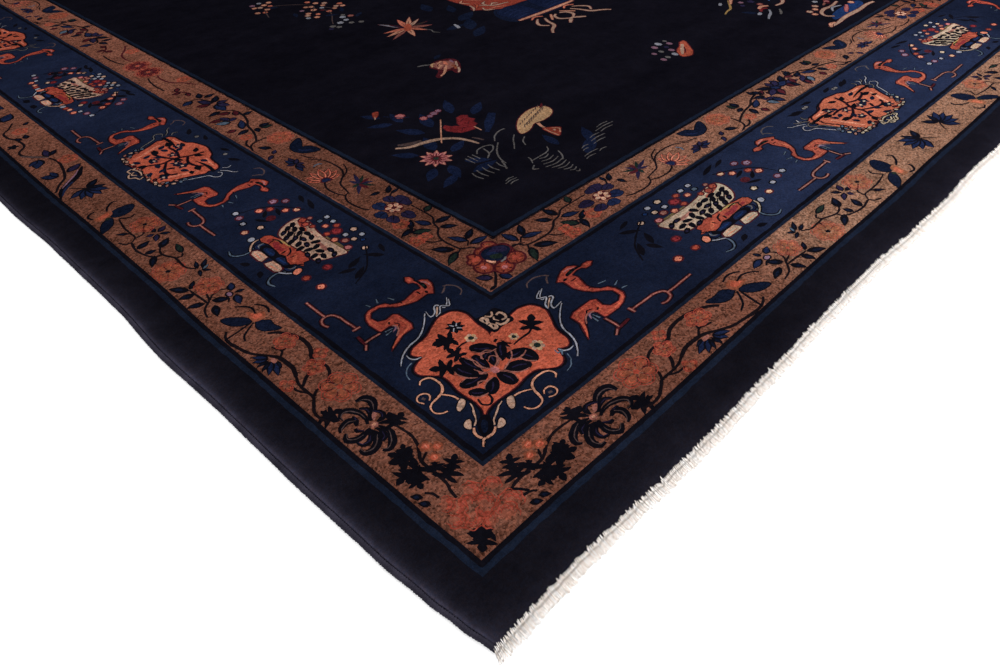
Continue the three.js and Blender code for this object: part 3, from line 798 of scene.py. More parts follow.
def inner_guard(p, reach):
    """The inner guard of one arm from the corner"""
    vines(p, ((4.4, [528 + 526j, 545 + 527j, 555 + 511j, 568 + 507j, 592 + 505j, 612 + 508j, 626 + 516j,
                     637 + 527j, 656 + 533j,
                     672 + 545j, 696 + 547j, 738 + 547j]),
              (4, [557 + 508j, 549 + 492j, 542 + 474j]), (4, [602 + 505j, 608 + 491j, 620 + 483j,
                                                              630 + 479j]),
              (3.4, [555 + 524j, 566 + 536j, 576 + 534j]), (3.4, [655 + 505j, 664 + 496j, 680 + 493j]),
              (4, [770 + 532j, 796 + 542j, 804 + 556j]), (4.4, [784 + 480j, 800 + 473j, 830 + 470j,
                                                                848 + 473j, 862 + 482j, 868 + 494j]),
              (4.4, [863 + 481j, 882 + 474j, 906 + 472j, 926 + 478j, 942 + 490j]),
              (4.4, [863 + 491j, 882 + 496j, 906 + 502j, 921 + 516j, 936 + 531j, 957 + 541j, 985 + 543j,
                     1012 + 540j, 1030 + 531j,
                     1046 + 519j]),
              (3.6, [926 + 524j, 944 + 546j, 972 + 558j])))
    leaves(p, (('green', 556 + 500j, 536 + 459j, 14), ('ink', 562 + 500j, 597 + 470j, 19),
               ('blue', 564 + 536j, 604 + 518j, 14),
               ('blue', 556 + 530j, 551 + 574j, 14), ('ink', 572 + 537j, 591 + 571j, 15),
               ('green', 662 + 482j, 641 + 517j, 16),
               ('ink', 673 + 496j, 664 + 459j, 14), ('ink', 672 + 491j, 699 + 512j, 13),
               ('blue', 655 + 528j, 690 + 512j, 15),
               ('ink', 639 + 531j, 617 + 560j, 15), ('ink', 656 + 535j, 651 + 576j, 16),
               ('green', 699 + 548j, 711 + 575j, 13),
               ('ink', 822 + 538j, 826 + 512j, 12), ('ink', 806 + 544j, 830 + 568j, 13),
               ('ink', 802 + 548j, 806 + 574j, 9)))
    soft_flower(p, 634 + 471j, 15, 5, 0)
    soft_flower(p, 634 + 492j, 13, 4, 40)
    soft_flower(p, 700 + 488j, 16, 5, 40, None)
    blue_bloom(p, 755 + 518j)
    for i, (degrees, length) in enumerate(((-140, 44), (178, 32), (150, 36), (118, 30), (84, 30), (50, 34),
                                           (22, 44), (-172, 24),
                                           (-100, 22), (-20, 26))):
        p.blade(('violet', 'maroon', 'green')[i % 3], 880 + 530j, 880 + 530j + length * turn(degrees), 9)
    lotus(p, 944 + 492j, 18, 1.2)
    leaves(p, [(dye, 1046 + 488j, 1046 + 488j + length * turn(degrees), 11)
               for degrees, length, dye in ((-170, 40, 'blue'), (170, 30, 'violet'), (8, 38, 'violet'),
                                            (-12, 34, 'blue'),
                                            (40, 26, 'violet'), (-60, 20, 'violet'), (120, 20, 'violet'))])
    # A bat with a blue wing
    both(p, 'deep', 'ink', 2.4, smooth([1062 + 562j, 1066 + 544j, 1080 + 526j, 1100 + 519j, 1120 + 524j,
                                        1136 + 540j, 1144 + 562j,
                                        1124 + 556j, 1104 + 544j, 1096 + 556j, 1080 + 562j]))
    p.line('blue', [1076 + 550j, 1086 + 536j, 1098 + 530j], 5, 8, 4)
    p.line('vine', [1034 + 536j, 1052 + 524j, 1076 + 518j], 3, 4, 3)
    p.line('grey', [1008 + 506j, 1012 + 518j, 1006 + 528j], 3, 5, 3)
    leaves(p, (('ink', 1146 + 494j, 1174 + 474j, 13), ('violet', 1118 + 478j, 1104 + 458j, 8),
               ('violet', 1120 + 480j, 1136 + 496j, 8)))
    vines(p, ((4, [1170 + 460j, 1190 + 468j, 1200 + 486j, 1202 + 516j]),
              (4, [1186 + 464j, 1206 + 466j, 1224 + 480j]),
              (4.6, [1200 + 488j, 1226 + 502j, 1256 + 512j, 1284 + 518j, 1310 + 532j, 1343 + 541j,
                     1380 + 541j, 1406 + 521j])))
    soft_flower(p, 1178 + 536j, 28, 7, 15)
    soft_flower(p, 1236 + 484j, 14, 5, 0)
    leaves(p, (('ink', 1268 + 510j, 1259 + 475j, 14), ('maroon', 1286 + 490j, 1289 + 464j, 12),
               ('blue', 1278 + 500j, 1326 + 525j, 13),
               ('grey', 1330 + 502j, 1349 + 469j, 16), ('violet', 1340 + 506j, 1374 + 494j, 13),
               ('maroon', 1358 + 496j, 1367 + 463j, 12),
               ('maroon', 1378 + 530j, 1392 + 499j, 13), ('ink', 1404 + 516j, 1397 + 479j, 14),
               ('ink', 1262 + 526j, 1236 + 518j, 12),
               ('green', 1256 + 532j, 1246 + 562j, 14), ('ink', 1262 + 532j, 1262 + 564j, 14),
               ('ink', 1344 + 540j, 1348 + 570j, 12),
               ('violet', 1346 + 524j, 1337 + 500j, 11), ('maroon', 1352 + 530j, 1384 + 542j, 12),
               ('blue', 1448 + 526j, 1398 + 528j, 20),
               ('violet', 1450 + 530j, 1416 + 551j, 16), ('maroon', 1456 + 520j, 1471 + 485j, 14),
               ('violet', 1458 + 526j, 1502 + 506j, 16),
               ('ink', 1460 + 530j, 1494 + 558j, 15), ('violet', 1452 + 532j, 1449 + 562j, 13),
               ('blue', 1510 + 500j, 1498 + 466j, 15),
               ('ink', 1508 + 520j, 1542 + 532j, 14), ('ink', 1504 + 528j, 1510 + 561j, 13)))
    if reach <= 1400:
        return
    vines(p, ((4, [1460 + 528j, 1486 + 524j, 1508 + 514j, 1512 + 496j]),
              (4, [1620 + 482j, 1660 + 480j, 1700 + 484j, 1730 + 492j])))
    vines(p, ((4, [1560 + 518j, 1580 + 508j, 1600 + 492j]),
              (4, [1596 + 558j, 1630 + 540j, 1660 + 518j, 1700 + 512j, 1732 + 518j])),
          'maroon')
    leaves(p, (('maroon', 1566 + 514j, 1540 + 510j, 10), ('maroon', 1580 + 506j, 1580 + 480j, 10),
               ('maroon', 1590 + 500j, 1614 + 514j, 10)))
    soft_flower(p, 1768 + 512j, 34, 8, 20, 'rust', ('maroon', 'rust'))
    soft_flower(p, 1652 + 552j, 18, 5, 40)


INNER_PETALS = (
    ('russet', [470 + 500j, 474 + 489j, 484 + 483j, 496 + 487j, 501 + 498j, 494 + 508j, 481 + 510j]),
    ('rust', [502 + 496j, 508 + 488j, 517 + 490j, 520 + 497j, 529 + 502j, 523 + 513j, 509 + 515j]),
    ('russet', [447 + 520j, 451 + 510j, 462 + 507j, 472 + 514j, 474 + 526j, 469 + 537j, 456 + 538j,
                449 + 530j]),
    ('rust', [452 + 560j, 455 + 548j, 462 + 541j, 473 + 545j, 481 + 554j, 478 + 567j, 470 + 573j,
              459 + 570j]),
    ('blush', [522 + 518j, 533 + 527j, 531 + 539j, 539 + 547j, 534 + 558j, 521 + 560j, 514 + 550j]),
    ('rust', [484 + 568j, 496 + 572j, 508 + 573j, 514 + 566j, 506 + 560j, 490 + 560j]),
)


def inner_corner(p):
    """The corner flower of the inner guard: coral lobes round a blue heart, and three leaves"""
    vines(p, ((5, [428 + 466j, 444 + 484j, 456 + 496j, 470 + 504j]),
              (4, [493 + 574j, 492 + 588j, 486 + 602j])))
    leaves(p, (('violet', 452 + 487j, 476 + 465j, 15), ('blue', 453 + 499j, 427 + 513j, 15),
               ('ink', 436 + 474j, 424 + 452j, 10)))
    for dye, outline in INNER_PETALS:
        z = smooth(outline)
        centre = np.mean(outline)
        z = centre + 1.06 * (z - centre)
        both(p, 'russet', 'maroon', 4.4, z)
        p.fill('rust' if dye != 'blush' else 'blush', centre + 2j + .62 * (z - centre))
        p.fill('pink' if dye == 'russet' else 'brick', centre + .34 * (z - centre))
        for k in outline[1::2]:
            p.line('maroon', [k, k + .5 * (centre - k)], 3.4, 1.4)
    heart = smooth([479 + 536j, 487 + 521j, 504 + 515j, 519 + 522j, 524 + 538j, 519 + 556j, 510 + 569j,
                    496 + 572j, 486 + 561j])
    both(p, 'deep', 'maroon', 4, heart)
    p.fill('violet', smooth([498 + 550j, 512 + 536j, 518 + 552j, 506 + 568j, 494 + 564j]))
    p.fill('blue', smooth([496 + 540j, 508 + 528j, 514 + 534j, 502 + 546j]))
    p.fill('green', smooth([484 + 540j, 494 + 526j, 504 + 530j, 494 + 548j]))
    p.fill('pinkish', smooth([481 + 521j, 487 + 515j, 496 + 513j, 499 + 516j, 490 + 520j, 484 + 525j]))
    p.line('mist', [476 + 530j, 477 + 540j, 481 + 546j], 3, 4.4, 3)


# The field's corner scene and scattered flowers, in rug millimetres (y first in the photo)
def daisy(p, dye, edge, heart, where, radius, petals):
    for i in range(petals):
        both(p, dye, edge, 1.6, where + turn(360 * i / petals
                                             + 8) * (radius * .2 + leaf_outline(radius * .8, radius * .34)))
    p.dot(heart, where, radius * .2, 7)


def pond_scene(p):
    """Water, banks, a lotus, a crane and reeds in the field's corner. First axis along the rug."""
    for dye, where, degrees, length, wide in (
            ('dusk', 800 + 706j, 200, 60, 26), ('dusk', 812 + 676j, 236, 56, 24),
            ('dusk', 880 + 690j, -40, 60, 24),
            ('dusk', 872 + 730j, 20, 70, 30), ('dusk', 840 + 750j, 70, 60, 24),
            ('dusk', 790 + 740j, 130, 60, 22),
            ('dusk', 950 + 770j, -30, 70, 28), ('dusk', 960 + 800j, 20, 80, 30),
            ('dusk', 1040 + 750j, -60, 60, 22),
            ('dusk', 1030 + 770j, 10, 60, 24), ('dusk', 940 + 910j, 60, 70, 26),
            ('dusk', 980 + 880j, 30, 80, 26),
            ('dusk', 760 + 690j, 250, 60, 22), ('dusk', 742 + 720j, 90, 70, 24),
            ('dusk', 620 + 940j, 60, 90, 30),
            ('dusk', 640 + 990j, 30, 80, 26), ('dusk', 690 + 930j, 10, 60, 22),
            ('dusk', 1086 + 750j, -30, 50, 20)):
        p.leaf(dye, where, degrees, length, wide)
    p.fill('dusk', ribbon([850 + 868j, 880 + 905j, 912 + 946j], 10, 24, 18))
    daisy(p, 'pink', 'maroon', 'green', 843 + 707j, 37, 10)
    for i in range(10):
        p.line('maroon', [843 + 707j + 6 * turn(36 * i + 8), 843 + 707j + 24 * turn(36 * i + 8)], 5, 2)
        p.line('pinkish', [843 + 707j + 26 * turn(36 * i + 8), 843 + 707j + 35 * turn(36 * i + 8)], 4, 3)
    # The bank that the reeds grow from
    p.line('umber', [950 + 690j, 936 + 712j, 928 + 740j], 8, 14, 8)
    both(p, 'fawn', 'umber', 1.5, ribbon([942 + 677j, 924 + 704j, 917 + 738j, 904 + 772j, 880 + 799j,
                                          850 + 812j, 824 + 817j],
                                        6, 9, 12, 9, 8, 4))
    p.line('pinkish', [887 + 763j, 929 + 799j, 975 + 840j], 3.2, 3.4, 3)
    p.line('umber', [828 + 836j, 842 + 832j, 856 + 826j], 5, 6, 4)
    both(p, 'red', 'maroon', 2.4, np.array([886 + 842j, 890 + 828j, 904 + 818j, 922 + 811j, 940 + 816j,
                                            946 + 826j, 930 + 832j,
                                             924 + 842j, 916 + 848j, 930 + 852j, 942 + 862j, 954 + 872j,
                                             956 + 888j, 946 + 898j,
                                             936 + 890j, 920 + 896j, 912 + 884j, 898 + 882j, 892 + 868j,
                                             882 + 860j]))
    for line in ([896 + 834j, 906 + 846j, 900 + 860j], [920 + 822j, 930 + 830j], [934 + 866j, 940 + 880j],
                 [910 + 866j, 920 + 878j]):
        p.line('maroon', line, 2, 3.4, 2)
    p.line('pinkish', [866 + 866j, 892 + 868j], 3, 4)
    for y, x0, x1 in ((714, 706, 740), (729, 706, 742), (746, 706, 742), (762, 706, 742), (781, 702, 736)):
        p.line('mist', [x0 + 1j * y, (x0 + x1) / 2 + 1j * (y - 3), x1 + 1j * y], 2.2, 3.4, 2.6)
    for y, x0, x1 in ((748, 766, 796), (759, 768, 800), (770, 772, 798)):
        p.line('mist', [x0 + 1j * y, x1 + 1j * y], 2, 3)
    for line in ([718 + 792j, 744 + 800j, 770 + 818j, 796 + 848j],
                 [792 + 780j, 804 + 792j, 806 + 816j, 796 + 830j, 782 + 818j,
                                                                    774 + 798j],
                 [806 + 848j, 824 + 866j, 834 + 892j, 832 + 906j], [762 + 782j, 776 + 800j, 800 + 806j],
                 [700 + 776j, 716 + 786j, 730 + 792j]):
        p.line('mist', line, 3, 4, 3)
    for i in range(9):
        x = 584 + 11.5 * i
        low, high = 836 + 6 * abs(i - 5), 892 - 3 * abs(i - 5)
        p.line('mist', [x + 3 + 1j * low, x - 2 + 1j * (low + high) / 2, x + 3 + 1j * high], 2, 3, 2)
    for line in ([640 + 886j, 656 + 900j, 674 + 908j], [676 + 830j, 690 + 840j, 700 + 842j],
                 [684 + 836j, 688 + 890j, 704 + 906j],
                 [650 + 822j, 658 + 812j, 668 + 826j], [748 + 850j, 764 + 866j, 780 + 880j, 796 + 900j],
                 [742 + 880j, 760 + 890j, 772 + 908j]):
        p.line('mist', line, 2.4, 3.4, 2.4)
    for x, y0, y1 in ((650, 736, 760), (658, 730, 764), (666, 738, 762), (604, 920, 952), (614, 926, 972),
                      (606, 966, 992),
                      (632, 944, 962), (642, 950, 974), (636, 984, 1026), (648, 990, 1040),
                      (660, 1000, 1034), (662, 1040, 1084),
                      (672, 1034, 1098), (682, 1050, 1090)):
        p.line('mist', [x + 1j * y0, x + 3 + 1j * (y0 + y1) / 2, x + 1 + 1j * y1], 1.8, 3, 1.8)
    # The crane
    body = smooth([786 + 914j, 800 + 918j, 820 + 934j, 840 + 960j, 853 + 990j, 858 + 1020j, 852 + 1046j,
                   836 + 1056j,
                   816 + 1050j, 802 + 1030j, 796 + 1000j, 800 + 972j, 790 + 950j, 784 + 932j])
    both(p, 'buff', 'maroon', 2.6, body)
    for i in range(9):
        y = 940 + 12 * i
        x = 800 + 4.2 * i
        p.line('umber', [x + 1j * y, x + 12 + 1j * (y + 12), x + 10 + 1j * (y + 24)], 2, 3, 2)
        p.line('umber', [x + 18 + 1j * (y + 2), x + 26 + 1j * (y + 12)], 2, 3)
    p.line('maroon', [846 + 1040j, 852 + 1052j, 860 + 1062j], 5, 6, 3)
    p.line('pinkish', [796 + 978j, 780 + 972j, 764 + 970j], 8, 7, 6)
    both(p, 'rust', 'maroon', 2, smooth([718 + 962j, 746 + 960j, 768 + 964j, 760 + 980j, 744 + 996j,
                                         732 + 984j]))
    p.line('pinkish', [720 + 964j, 744 + 964j, 764 + 966j], 3, 4, 3)
    p.line('pinkish', [728 + 978j, 742 + 990j, 756 + 980j], 3, 4, 3)
    p.dot('cream', 744 + 977j, 4, 6)
    # Buds at the reeds' tips
    for where, radius, dye in ((1010 + 818j, 9, 'pink'), (1012 + 852j, 9, 'mauve'),
                               (1015 + 868j, 7, 'mauve'),
                               (1008 + 836j, 7, 'mauve'), (1060 + 788j, 12, 'pink')):
        p.fill('maroon', where + disc(radius + 2, 8))
        p.fill(dye, where + scallop(radius, 5, .3))
    both(p, 'rust', 'maroon', 1.6, smooth([1094 + 742j, 1106 + 744j, 1122 + 756j, 1118 + 768j, 1104 + 758j]))
    p.line('cream', [1090 + 738j, 1102 + 746j], 3, 3)
    p.line('dusk', [1040 + 800j, 1064 + 776j, 1088 + 760j], 3, 3, 3)


def strewn_flowers(p):
    """Blossoms, buds and fruit strewn between the corner scenes and the middle. First axis along the rug."""
    # A six-pointed coral flower with a thread of stem
    for tip, width, dye in ((1434 + 1158j, 17, 'pinkish'), (1460 + 1098j, 13, 'rose'),
                            (1490 + 1100j, 15, 'pinkish'),
                            (1520 + 1112j, 15, 'salmon'), (1592 + 1148j, 13, 'pale'),
                            (1560 + 1166j, 10, 'deep'),
                            (1582 + 1214j, 19, 'salmon'), (1572 + 1254j, 16, 'pinkish'),
                            (1538 + 1262j, 12, 'cream'),
                            (1502 + 1264j, 11, 'green'), (1468 + 1254j, 17, 'rose'),
                            (1446 + 1216j, 13, 'salmon')):
        heart = 1502 + 1188j
        both(p, dye, 'maroon', 2,
             heart + (tip - heart) / abs(tip - heart) * leaf_outline(abs(tip - heart), width))
        p.line('maroon', [heart, heart + .6 * (tip - heart)], 3, 1.6)
    p.fill('coral', smooth([1478 + 1176j, 1496 + 1170j, 1524 + 1196j, 1530 + 1212j, 1512 + 1210j,
                            1488 + 1190j]))
    p.line('mist', [1402 + 1226j, 1420 + 1216j, 1436 + 1222j, 1460 + 1214j], 3, 4, 3)
    # A bud with cream-edged petals, and its stem
    p.fill('maroon', smooth([1156 + 1004j, 1172 + 1002j, 1196 + 1032j, 1226 + 1030j, 1244 + 1050j,
                             1246 + 1082j, 1232 + 1110j,
                             1206 + 1112j, 1176 + 1094j, 1144 + 1062j, 1152 + 1052j, 1168 + 1056j,
                             1174 + 1046j]))
    p.fill('rose', smooth([1184 + 1052j, 1200 + 1040j, 1232 + 1044j, 1240 + 1070j, 1226 + 1094j,
                           1204 + 1096j, 1184 + 1078j]))
    for line, dye, width in (([1163 + 1012j, 1170 + 1028j, 1180 + 1042j, 1194 + 1057j, 1206 + 1070j],
                              'pinkish', 8),
                             ([1188 + 1036j, 1200 + 1052j, 1208 + 1068j], 'maroon', 3),
                             ([1147 + 1060j, 1158 + 1072j, 1174 + 1084j], 'cream', 7),
                             ([1178 + 1084j, 1192 + 1094j, 1208 + 1106j], 'cream', 7),
                             ([1203 + 1040j, 1212 + 1052j, 1216 + 1064j], 'pinkish', 8),
                             ([1222 + 1036j, 1238 + 1046j, 1240 + 1058j], 'buff', 7),
                             ([1220 + 1056j, 1231 + 1066j, 1238 + 1080j], 'pinkish', 8),
                             ([1214 + 1048j, 1226 + 1058j, 1230 + 1072j], 'maroon', 3),
                             ([1170 + 1070j, 1182 + 1080j, 1198 + 1082j], 'blush', 9),
                             ([1206 + 1076j, 1220 + 1078j, 1230 + 1086j], 'salmon', 10),
                             ([1208 + 1096j, 1226 + 1102j], 'mauve', 8)):
        p.line(dye, line, width * .6, width, width * .7)
    p.line('mist', [1256 + 1012j, 1250 + 1030j, 1240 + 1044j], 5, 8, 5)
    p.leaf('deep', 1262 + 1076j, 70, 40, 14)
    # A pomegranate among pale leaves
    for where, radius, dye in ((800 + 1478j, 10, 'mauve'), (802 + 1500j, 9, 'mist'),
                               (842 + 1494j, 9, 'mauve'), (838 + 1520j, 9, 'mist'),
                               (868 + 1532j, 11, 'mauve'), (876 + 1560j, 12, 'pale'),
                               (856 + 1584j, 10, 'mauve'), (876 + 1590j, 7, 'mist'),
                               (800 + 1530j, 11, 'pale'), (824 + 1548j, 10, 'mauve'),
                               (846 + 1556j, 8, 'violet')):
        p.fill(dye, where + disc(radius, 7, .8))
    both(p, 'coral', 'maroon', 3, smooth([776 + 1530j, 764 + 1552j, 776 + 1578j, 802 + 1602j, 836 + 1628j,
                                          840 + 1612j, 824 + 1586j,
                                        812 + 1556j, 796 + 1540j]))
    p.line('cream', [784 + 1542j, 798 + 1560j, 812 + 1582j, 828 + 1604j], 6, 11, 8)
    p.line('maroon', [786 + 1556j, 796 + 1572j, 812 + 1590j], 3, 5, 3)
    # A blossom spray in three bunches
    for x, y, radius, dye in (
            (1050, 1682, 10, 'mist'), (1060, 1664, 9, 'mist'), (1085, 1692, 11, 'pale'),
            (1112, 1700, 9, 'pale'), (1108, 1668, 9, 'mist'),
            (1132, 1652, 9, 'mist'), (1120, 1728, 10, 'pale'), (1132, 1744, 8, 'mist'),
            (1144, 1720, 9, 'rose'), (1034, 1668, 8, 'violet'),
            (1068, 1788, 9, 'pinkish'), (1086, 1808, 8, 'salmon'), (1044, 1800, 8, 'pale'),
            (1056, 1820, 9, 'cream'),
            (1068, 1834, 9, 'pinkish'), (1100, 1852, 10, 'pinkish'), (1070, 1872, 8, 'mauve'),
            (1126, 1806, 9, 'salmon'),
            (1154, 1816, 8, 'pinkish'), (1170, 1830, 9, 'cream'), (1186, 1818, 9, 'pinkish'),
            (1192, 1842, 9, 'salmon'),
            (1130, 1850, 8, 'pale'), (1146, 1868, 8, 'pinkish'), (1162, 1882, 9, 'cream'),
            (1112, 1882, 9, 'pinkish'),
            (1142, 1902, 9, 'pinkish'), (1130, 1930, 9, 'salmon'), (1098, 1892, 8, 'pinkish'),
            (1118, 1830, 8, 'maroon'),
            (966, 1960, 9, 'pinkish'), (986, 1948, 8, 'salmon'), (1006, 1968, 9, 'pinkish'),
            (1000, 2000, 9, 'cream'),
            (984, 2008, 8, 'pinkish'), (992, 2034, 10, 'mauve'), (1022, 2012, 9, 'pinkish'),
            (1030, 1990, 8, 'salmon'),
            (1046, 2024, 9, 'pinkish'), (1020, 2040, 8, 'pale')):
        where = y + 1j * x
        p.fill('maroon' if dye in ('pinkish', 'salmon', 'cream', 'rose') else 'ink',
               where + disc(radius + 2, 8))
        p.fill(dye, where + turn(x) * scallop(radius, 5, .25))
    for line in ([1700 + 1064j, 1730 + 1082j, 1758 + 1102j, 1800 + 1124j, 1850 + 1120j],
                 [1840 + 1088j, 1890 + 1122j, 1950 + 1080j, 1990 + 1020j],
                 [1900 + 968j, 1940 + 984j, 1964 + 992j], [1816 + 1150j, 1860 + 1136j]):
        p.line('umber', line, 3, 4, 3)
    for where, degrees, length in ((1770 + 1150j, 30, 46), (1780 + 1090j, 120, 44), (1870 + 1040j, 200, 40),
                                   (1930 + 1150j, 60, 40),
                                   (1960 + 1040j, -60, 40), (1700 + 1150j, 60, 44), (1900 + 1190j, 0, 50)):
        p.leaf('deep', where, degrees, length, 15)


def censer(p):
    """A fretted stand with a blossoming bowl on it, towards the rug's middle. First axis along the rug."""
    for where, degrees, length, wide in ((1300 + 1270j, 60, 90, 34), (1350 + 1300j, 40, 100, 40),
                                         (1430 + 1330j, 70, 90, 40),
                                         (1500 + 1370j, 30, 70, 30), (1400 + 1250j, 90, 70, 26),
                                         (1560 + 1330j, 20, 80, 36)):
        p.leaf('deep', where, degrees, length, wide)
    p.line('pale', [1386 + 1286j, 1398 + 1292j, 1420 + 1298j], 9, 12, 6)
    both(p, 'deep', 'ink', 3, smooth([1292 + 1440j, 1292 + 1700j, 1420 + 1730j, 1420 + 1470j]))
    bowl = [1412, 1408 + 70j, 1430 + 100j, 1470 + 146j, 1500 + 122j, 1520 + 128j, 1600 + 130j, 1664 + 96j,
            1690 + 50j, 1698]
    both(p, 'brick', 'maroon', 4, 1570j + smooth(bowl + [np.conj(z) for z in bowl[-2:0:-1]]))
    for s in (-1, 1):
        def x(offset):
            return 1j * (1570 + s * offset)

        both(p, 'dusk', 'ink', 2, smooth([1300 + x(20), 1300 + x(110), 1392 + x(122), 1404 + x(30)]))
        for i in range(4):
            p.line('blue', [1312 + 20 * i + x(30 + 8 * i), 1320 + 20 * i + x(70), 1312 + 20 * i + x(108)], 3,
                   5, 3)
        for line, dye, width in (
                ([1152 + x(134), 1170 + x(116), 1192 + x(84), 1226 + x(72), 1252 + x(58)], 'cream', 11),
                ([1170 + x(36), 1190 + x(10), 1196 + x(0)], 'cream', 12),
                ([1196 + x(8), 1216 + x(30), 1240 + x(26), 1252 + x(8)], 'cream', 10),
                ([1226 + x(52), 1244 + x(36), 1262 + x(20)], 'pinkish', 9),
                ([1200 + x(96), 1222 + x(112), 1244 + x(100), 1262 + x(78)], 'cream', 9),
                ([1268 + x(48), 1282 + x(70), 1270 + x(96)], 'salmon', 8)):
            p.line('maroon', line, width * .6 + 4, width + 4, width * .6 + 4)
            p.line(dye, line, width * .6, width, width * .6)
        p.line('maroon', [1292 + x(0), 1294 + x(70), 1296 + x(124)], 20, 20, 16)
        p.line('pinkish', [1292 + x(0), 1294 + x(70), 1296 + x(122)], 13, 13, 9)
        for line, dye in (([1440 + x(20), 1452 + x(70), 1486 + x(104)], 'cream'),
                          ([1500 + x(20), 1520 + x(60), 1560 + x(100)], 'salmon'),
                          ([1566 + x(10), 1584 + x(50), 1620 + x(86)], 'cream'),
                          ([1640 + x(14), 1650 + x(50)], 'salmon'),
                          ([1462 + x(150), 1482 + x(132), 1508 + x(124)], 'cream'),
                          ([1424 + x(96), 1440 + x(120), 1462 + x(112)], 'cream'),
                          ([1520 + x(112), 1546 + x(126), 1560 + x(108)], 'pinkish'),
                          ([1470 + x(86), 1490 + x(84), 1500 + x(66)], 'cream'),
                          ([1422 + x(52), 1436 + x(78), 1440 + x(104)], 'salmon'),
                          ([1474 + x(128), 1490 + x(108), 1510 + x(100)], 'coral'),
                          ([1458 + x(48), 1470 + x(60), 1462 + x(74)], 'cream')):
            p.line('maroon', line, 8, 14, 8)
            p.line(dye, line, 4, 9, 4)


def second_scene(p):
    """A flowering branch in a pale pot, by the field's other near corner. First axis along the rug."""
    for where, degrees, length, wide in ((640 + 2240j, 100, 60, 26), (700 + 2200j, 60, 70, 28),
                                         (760 + 2160j, 120, 70, 26),
                                         (850 + 2080j, 60, 70, 30), (900 + 2060j, 100, 60, 26),
                                         (800 + 1960j, -30, 50, 20)):
        p.leaf('deep', where, degrees, length, wide)
    both(p, 'royal', 'ink', 2, smooth([604 + 2060j, 600 + 2150j, 606 + 2240j, 636 + 2250j, 640 + 2150j,
                                       628 + 2080j]))
    for line, dye, width in (
            ([588 + 1990j, 588 + 2040j, 594 + 2100j, 592 + 2180j, 596 + 2240j, 592 + 2280j], 'cream', 15),
            ([586 + 1992j, 598 + 2016j, 594 + 2036j], 'pinkish', 12),
            ([612 + 2140j, 626 + 2170j, 640 + 2200j], 'pink', 12),
            ([620 + 2082j, 640 + 2068j, 662 + 2084j, 672 + 2120j, 668 + 2160j, 676 + 2210j], 'cream', 12),
            ([644 + 2120j, 660 + 2150j, 650 + 2184j], 'pale', 9), ([690 + 2150j, 700 + 2190j], 'rose', 9),
            ([752 + 1936j, 764 + 1962j, 776 + 1990j, 792 + 2010j], 'pale', 9),
            ([746 + 1996j, 756 + 2016j, 772 + 2036j], 'mist', 9),
            ([790 + 1948j, 798 + 1970j], 'pale', 13), ([802 + 1980j, 812 + 2000j, 804 + 2020j], 'red', 10),
            ([818 + 1996j, 824 + 2020j, 812 + 2040j], 'pinkish', 14),
            ([796 + 2056j, 794 + 2090j, 806 + 2116j, 840 + 2170j], 'cream', 11),
            ([868 + 1888j, 878 + 1916j, 884 + 1944j, 906 + 1974j, 930 + 2004j], 'ochre', 8),
            ([922 + 1946j, 934 + 1968j], 'pale', 12),
            ([906 + 1980j, 920 + 2004j, 950 + 2050j], 'pinkish', 10),
            ([834 + 2084j, 860 + 2120j, 884 + 2160j], 'sky', 8)):
        p.line('maroon' if dye in ('cream', 'pinkish', 'pink', 'red') else 'ink', line, width * .6 + 4,
               width + 4, width * .6 + 4)
        p.line(dye, line, width * .6, width, width * .6)
    for x, y, radius, dye in ((2060, 670, 9, 'pinkish'), (2070, 692, 10, 'cream'), (2100, 690, 9, 'pinkish'),
                              (2126, 704, 10, 'cream'),
                              (2190, 700, 9, 'pink'), (2164, 724, 9, 'pale'), (2012, 890, 9, 'mauve'),
                              (1990, 870, 8, 'violet'),
                              (2040, 872, 12, 'violet'), (2036, 838, 9, 'rose'), (2180, 690, 8, 'maroon'),
                              (2230, 640, 10, 'pinkish')):
        where = y + 1j * x
        p.fill('maroon' if dye in ('pinkish', 'cream', 'rose', 'pink') else 'ink',
               where + disc(radius + 2.4, 8))
        p.fill(dye, where + turn(x) * scallop(radius, 5, .25))


ARM_SCALE = END_LINES[2] / SIDE_LINES[2]
# Where the motifs of a side's border come on the shorter ends: {along the side: along the end}
STRETCH = {
    'outer': {0: 0, 170: 176, 334: 351, 430: 466, 545: 593, 662: 750, 750: 858, 888: 1005, 1136: 1292,
              1280: 1470},
    'main': {0: 0, 238: 254, 439: 479, 783: 916, 1262: 1525},
    'inner': {0: 0, 497: 531, 754: 823, 964: 1046, 1100: 1179, 1300: 1396, 1440: 1525},
}


def side_arm(z):
    return z.imag + 1j * z.real


def end_arm(band):
    at, to = list(STRETCH[band]), list(STRETCH[band].values())
    return lambda z: np.interp(z.real, at, to) + np.maximum(z.real - at[-1],
                                                            0) * 1.1 + 1j * z.imag * ARM_SCALE


def quarter():
    """The pattern of the rug's near corner up to both middles, by band"""
    bands = {'outer': [], 'main': [], 'inner': [], 'field': []}
    for band, draw in (('outer', outer_guard), ('main', main_border), ('inner', inner_guard)):
        draw(Pen(bands[band], side_arm), LENGTH / 2)
        draw(Pen(bands[band], end_arm(band)), 1280)
    outer_corner(Pen(bands['outer'], side_arm))
    corner_cartouche(Pen(bands['main'], side_arm), Pen(bands['main'], end_arm('main')))
    inner_corner(Pen(bands['inner'], side_arm))
    for draw in (pond_scene, strewn_flowers, censer, second_scene):
        draw(Pen(bands['field'], side_arm))
    return bands


# Stage: camera, lights, floor
EYE = Vector((-1.7636, -2.0959, 0.7837))
AIM = Vector((-1.1326, -1.4558, 0.009))
ROLL = math.radians(-1.60)
LENS = 27.35          # on a sensor 36 wide
scene = bpy.context.scene


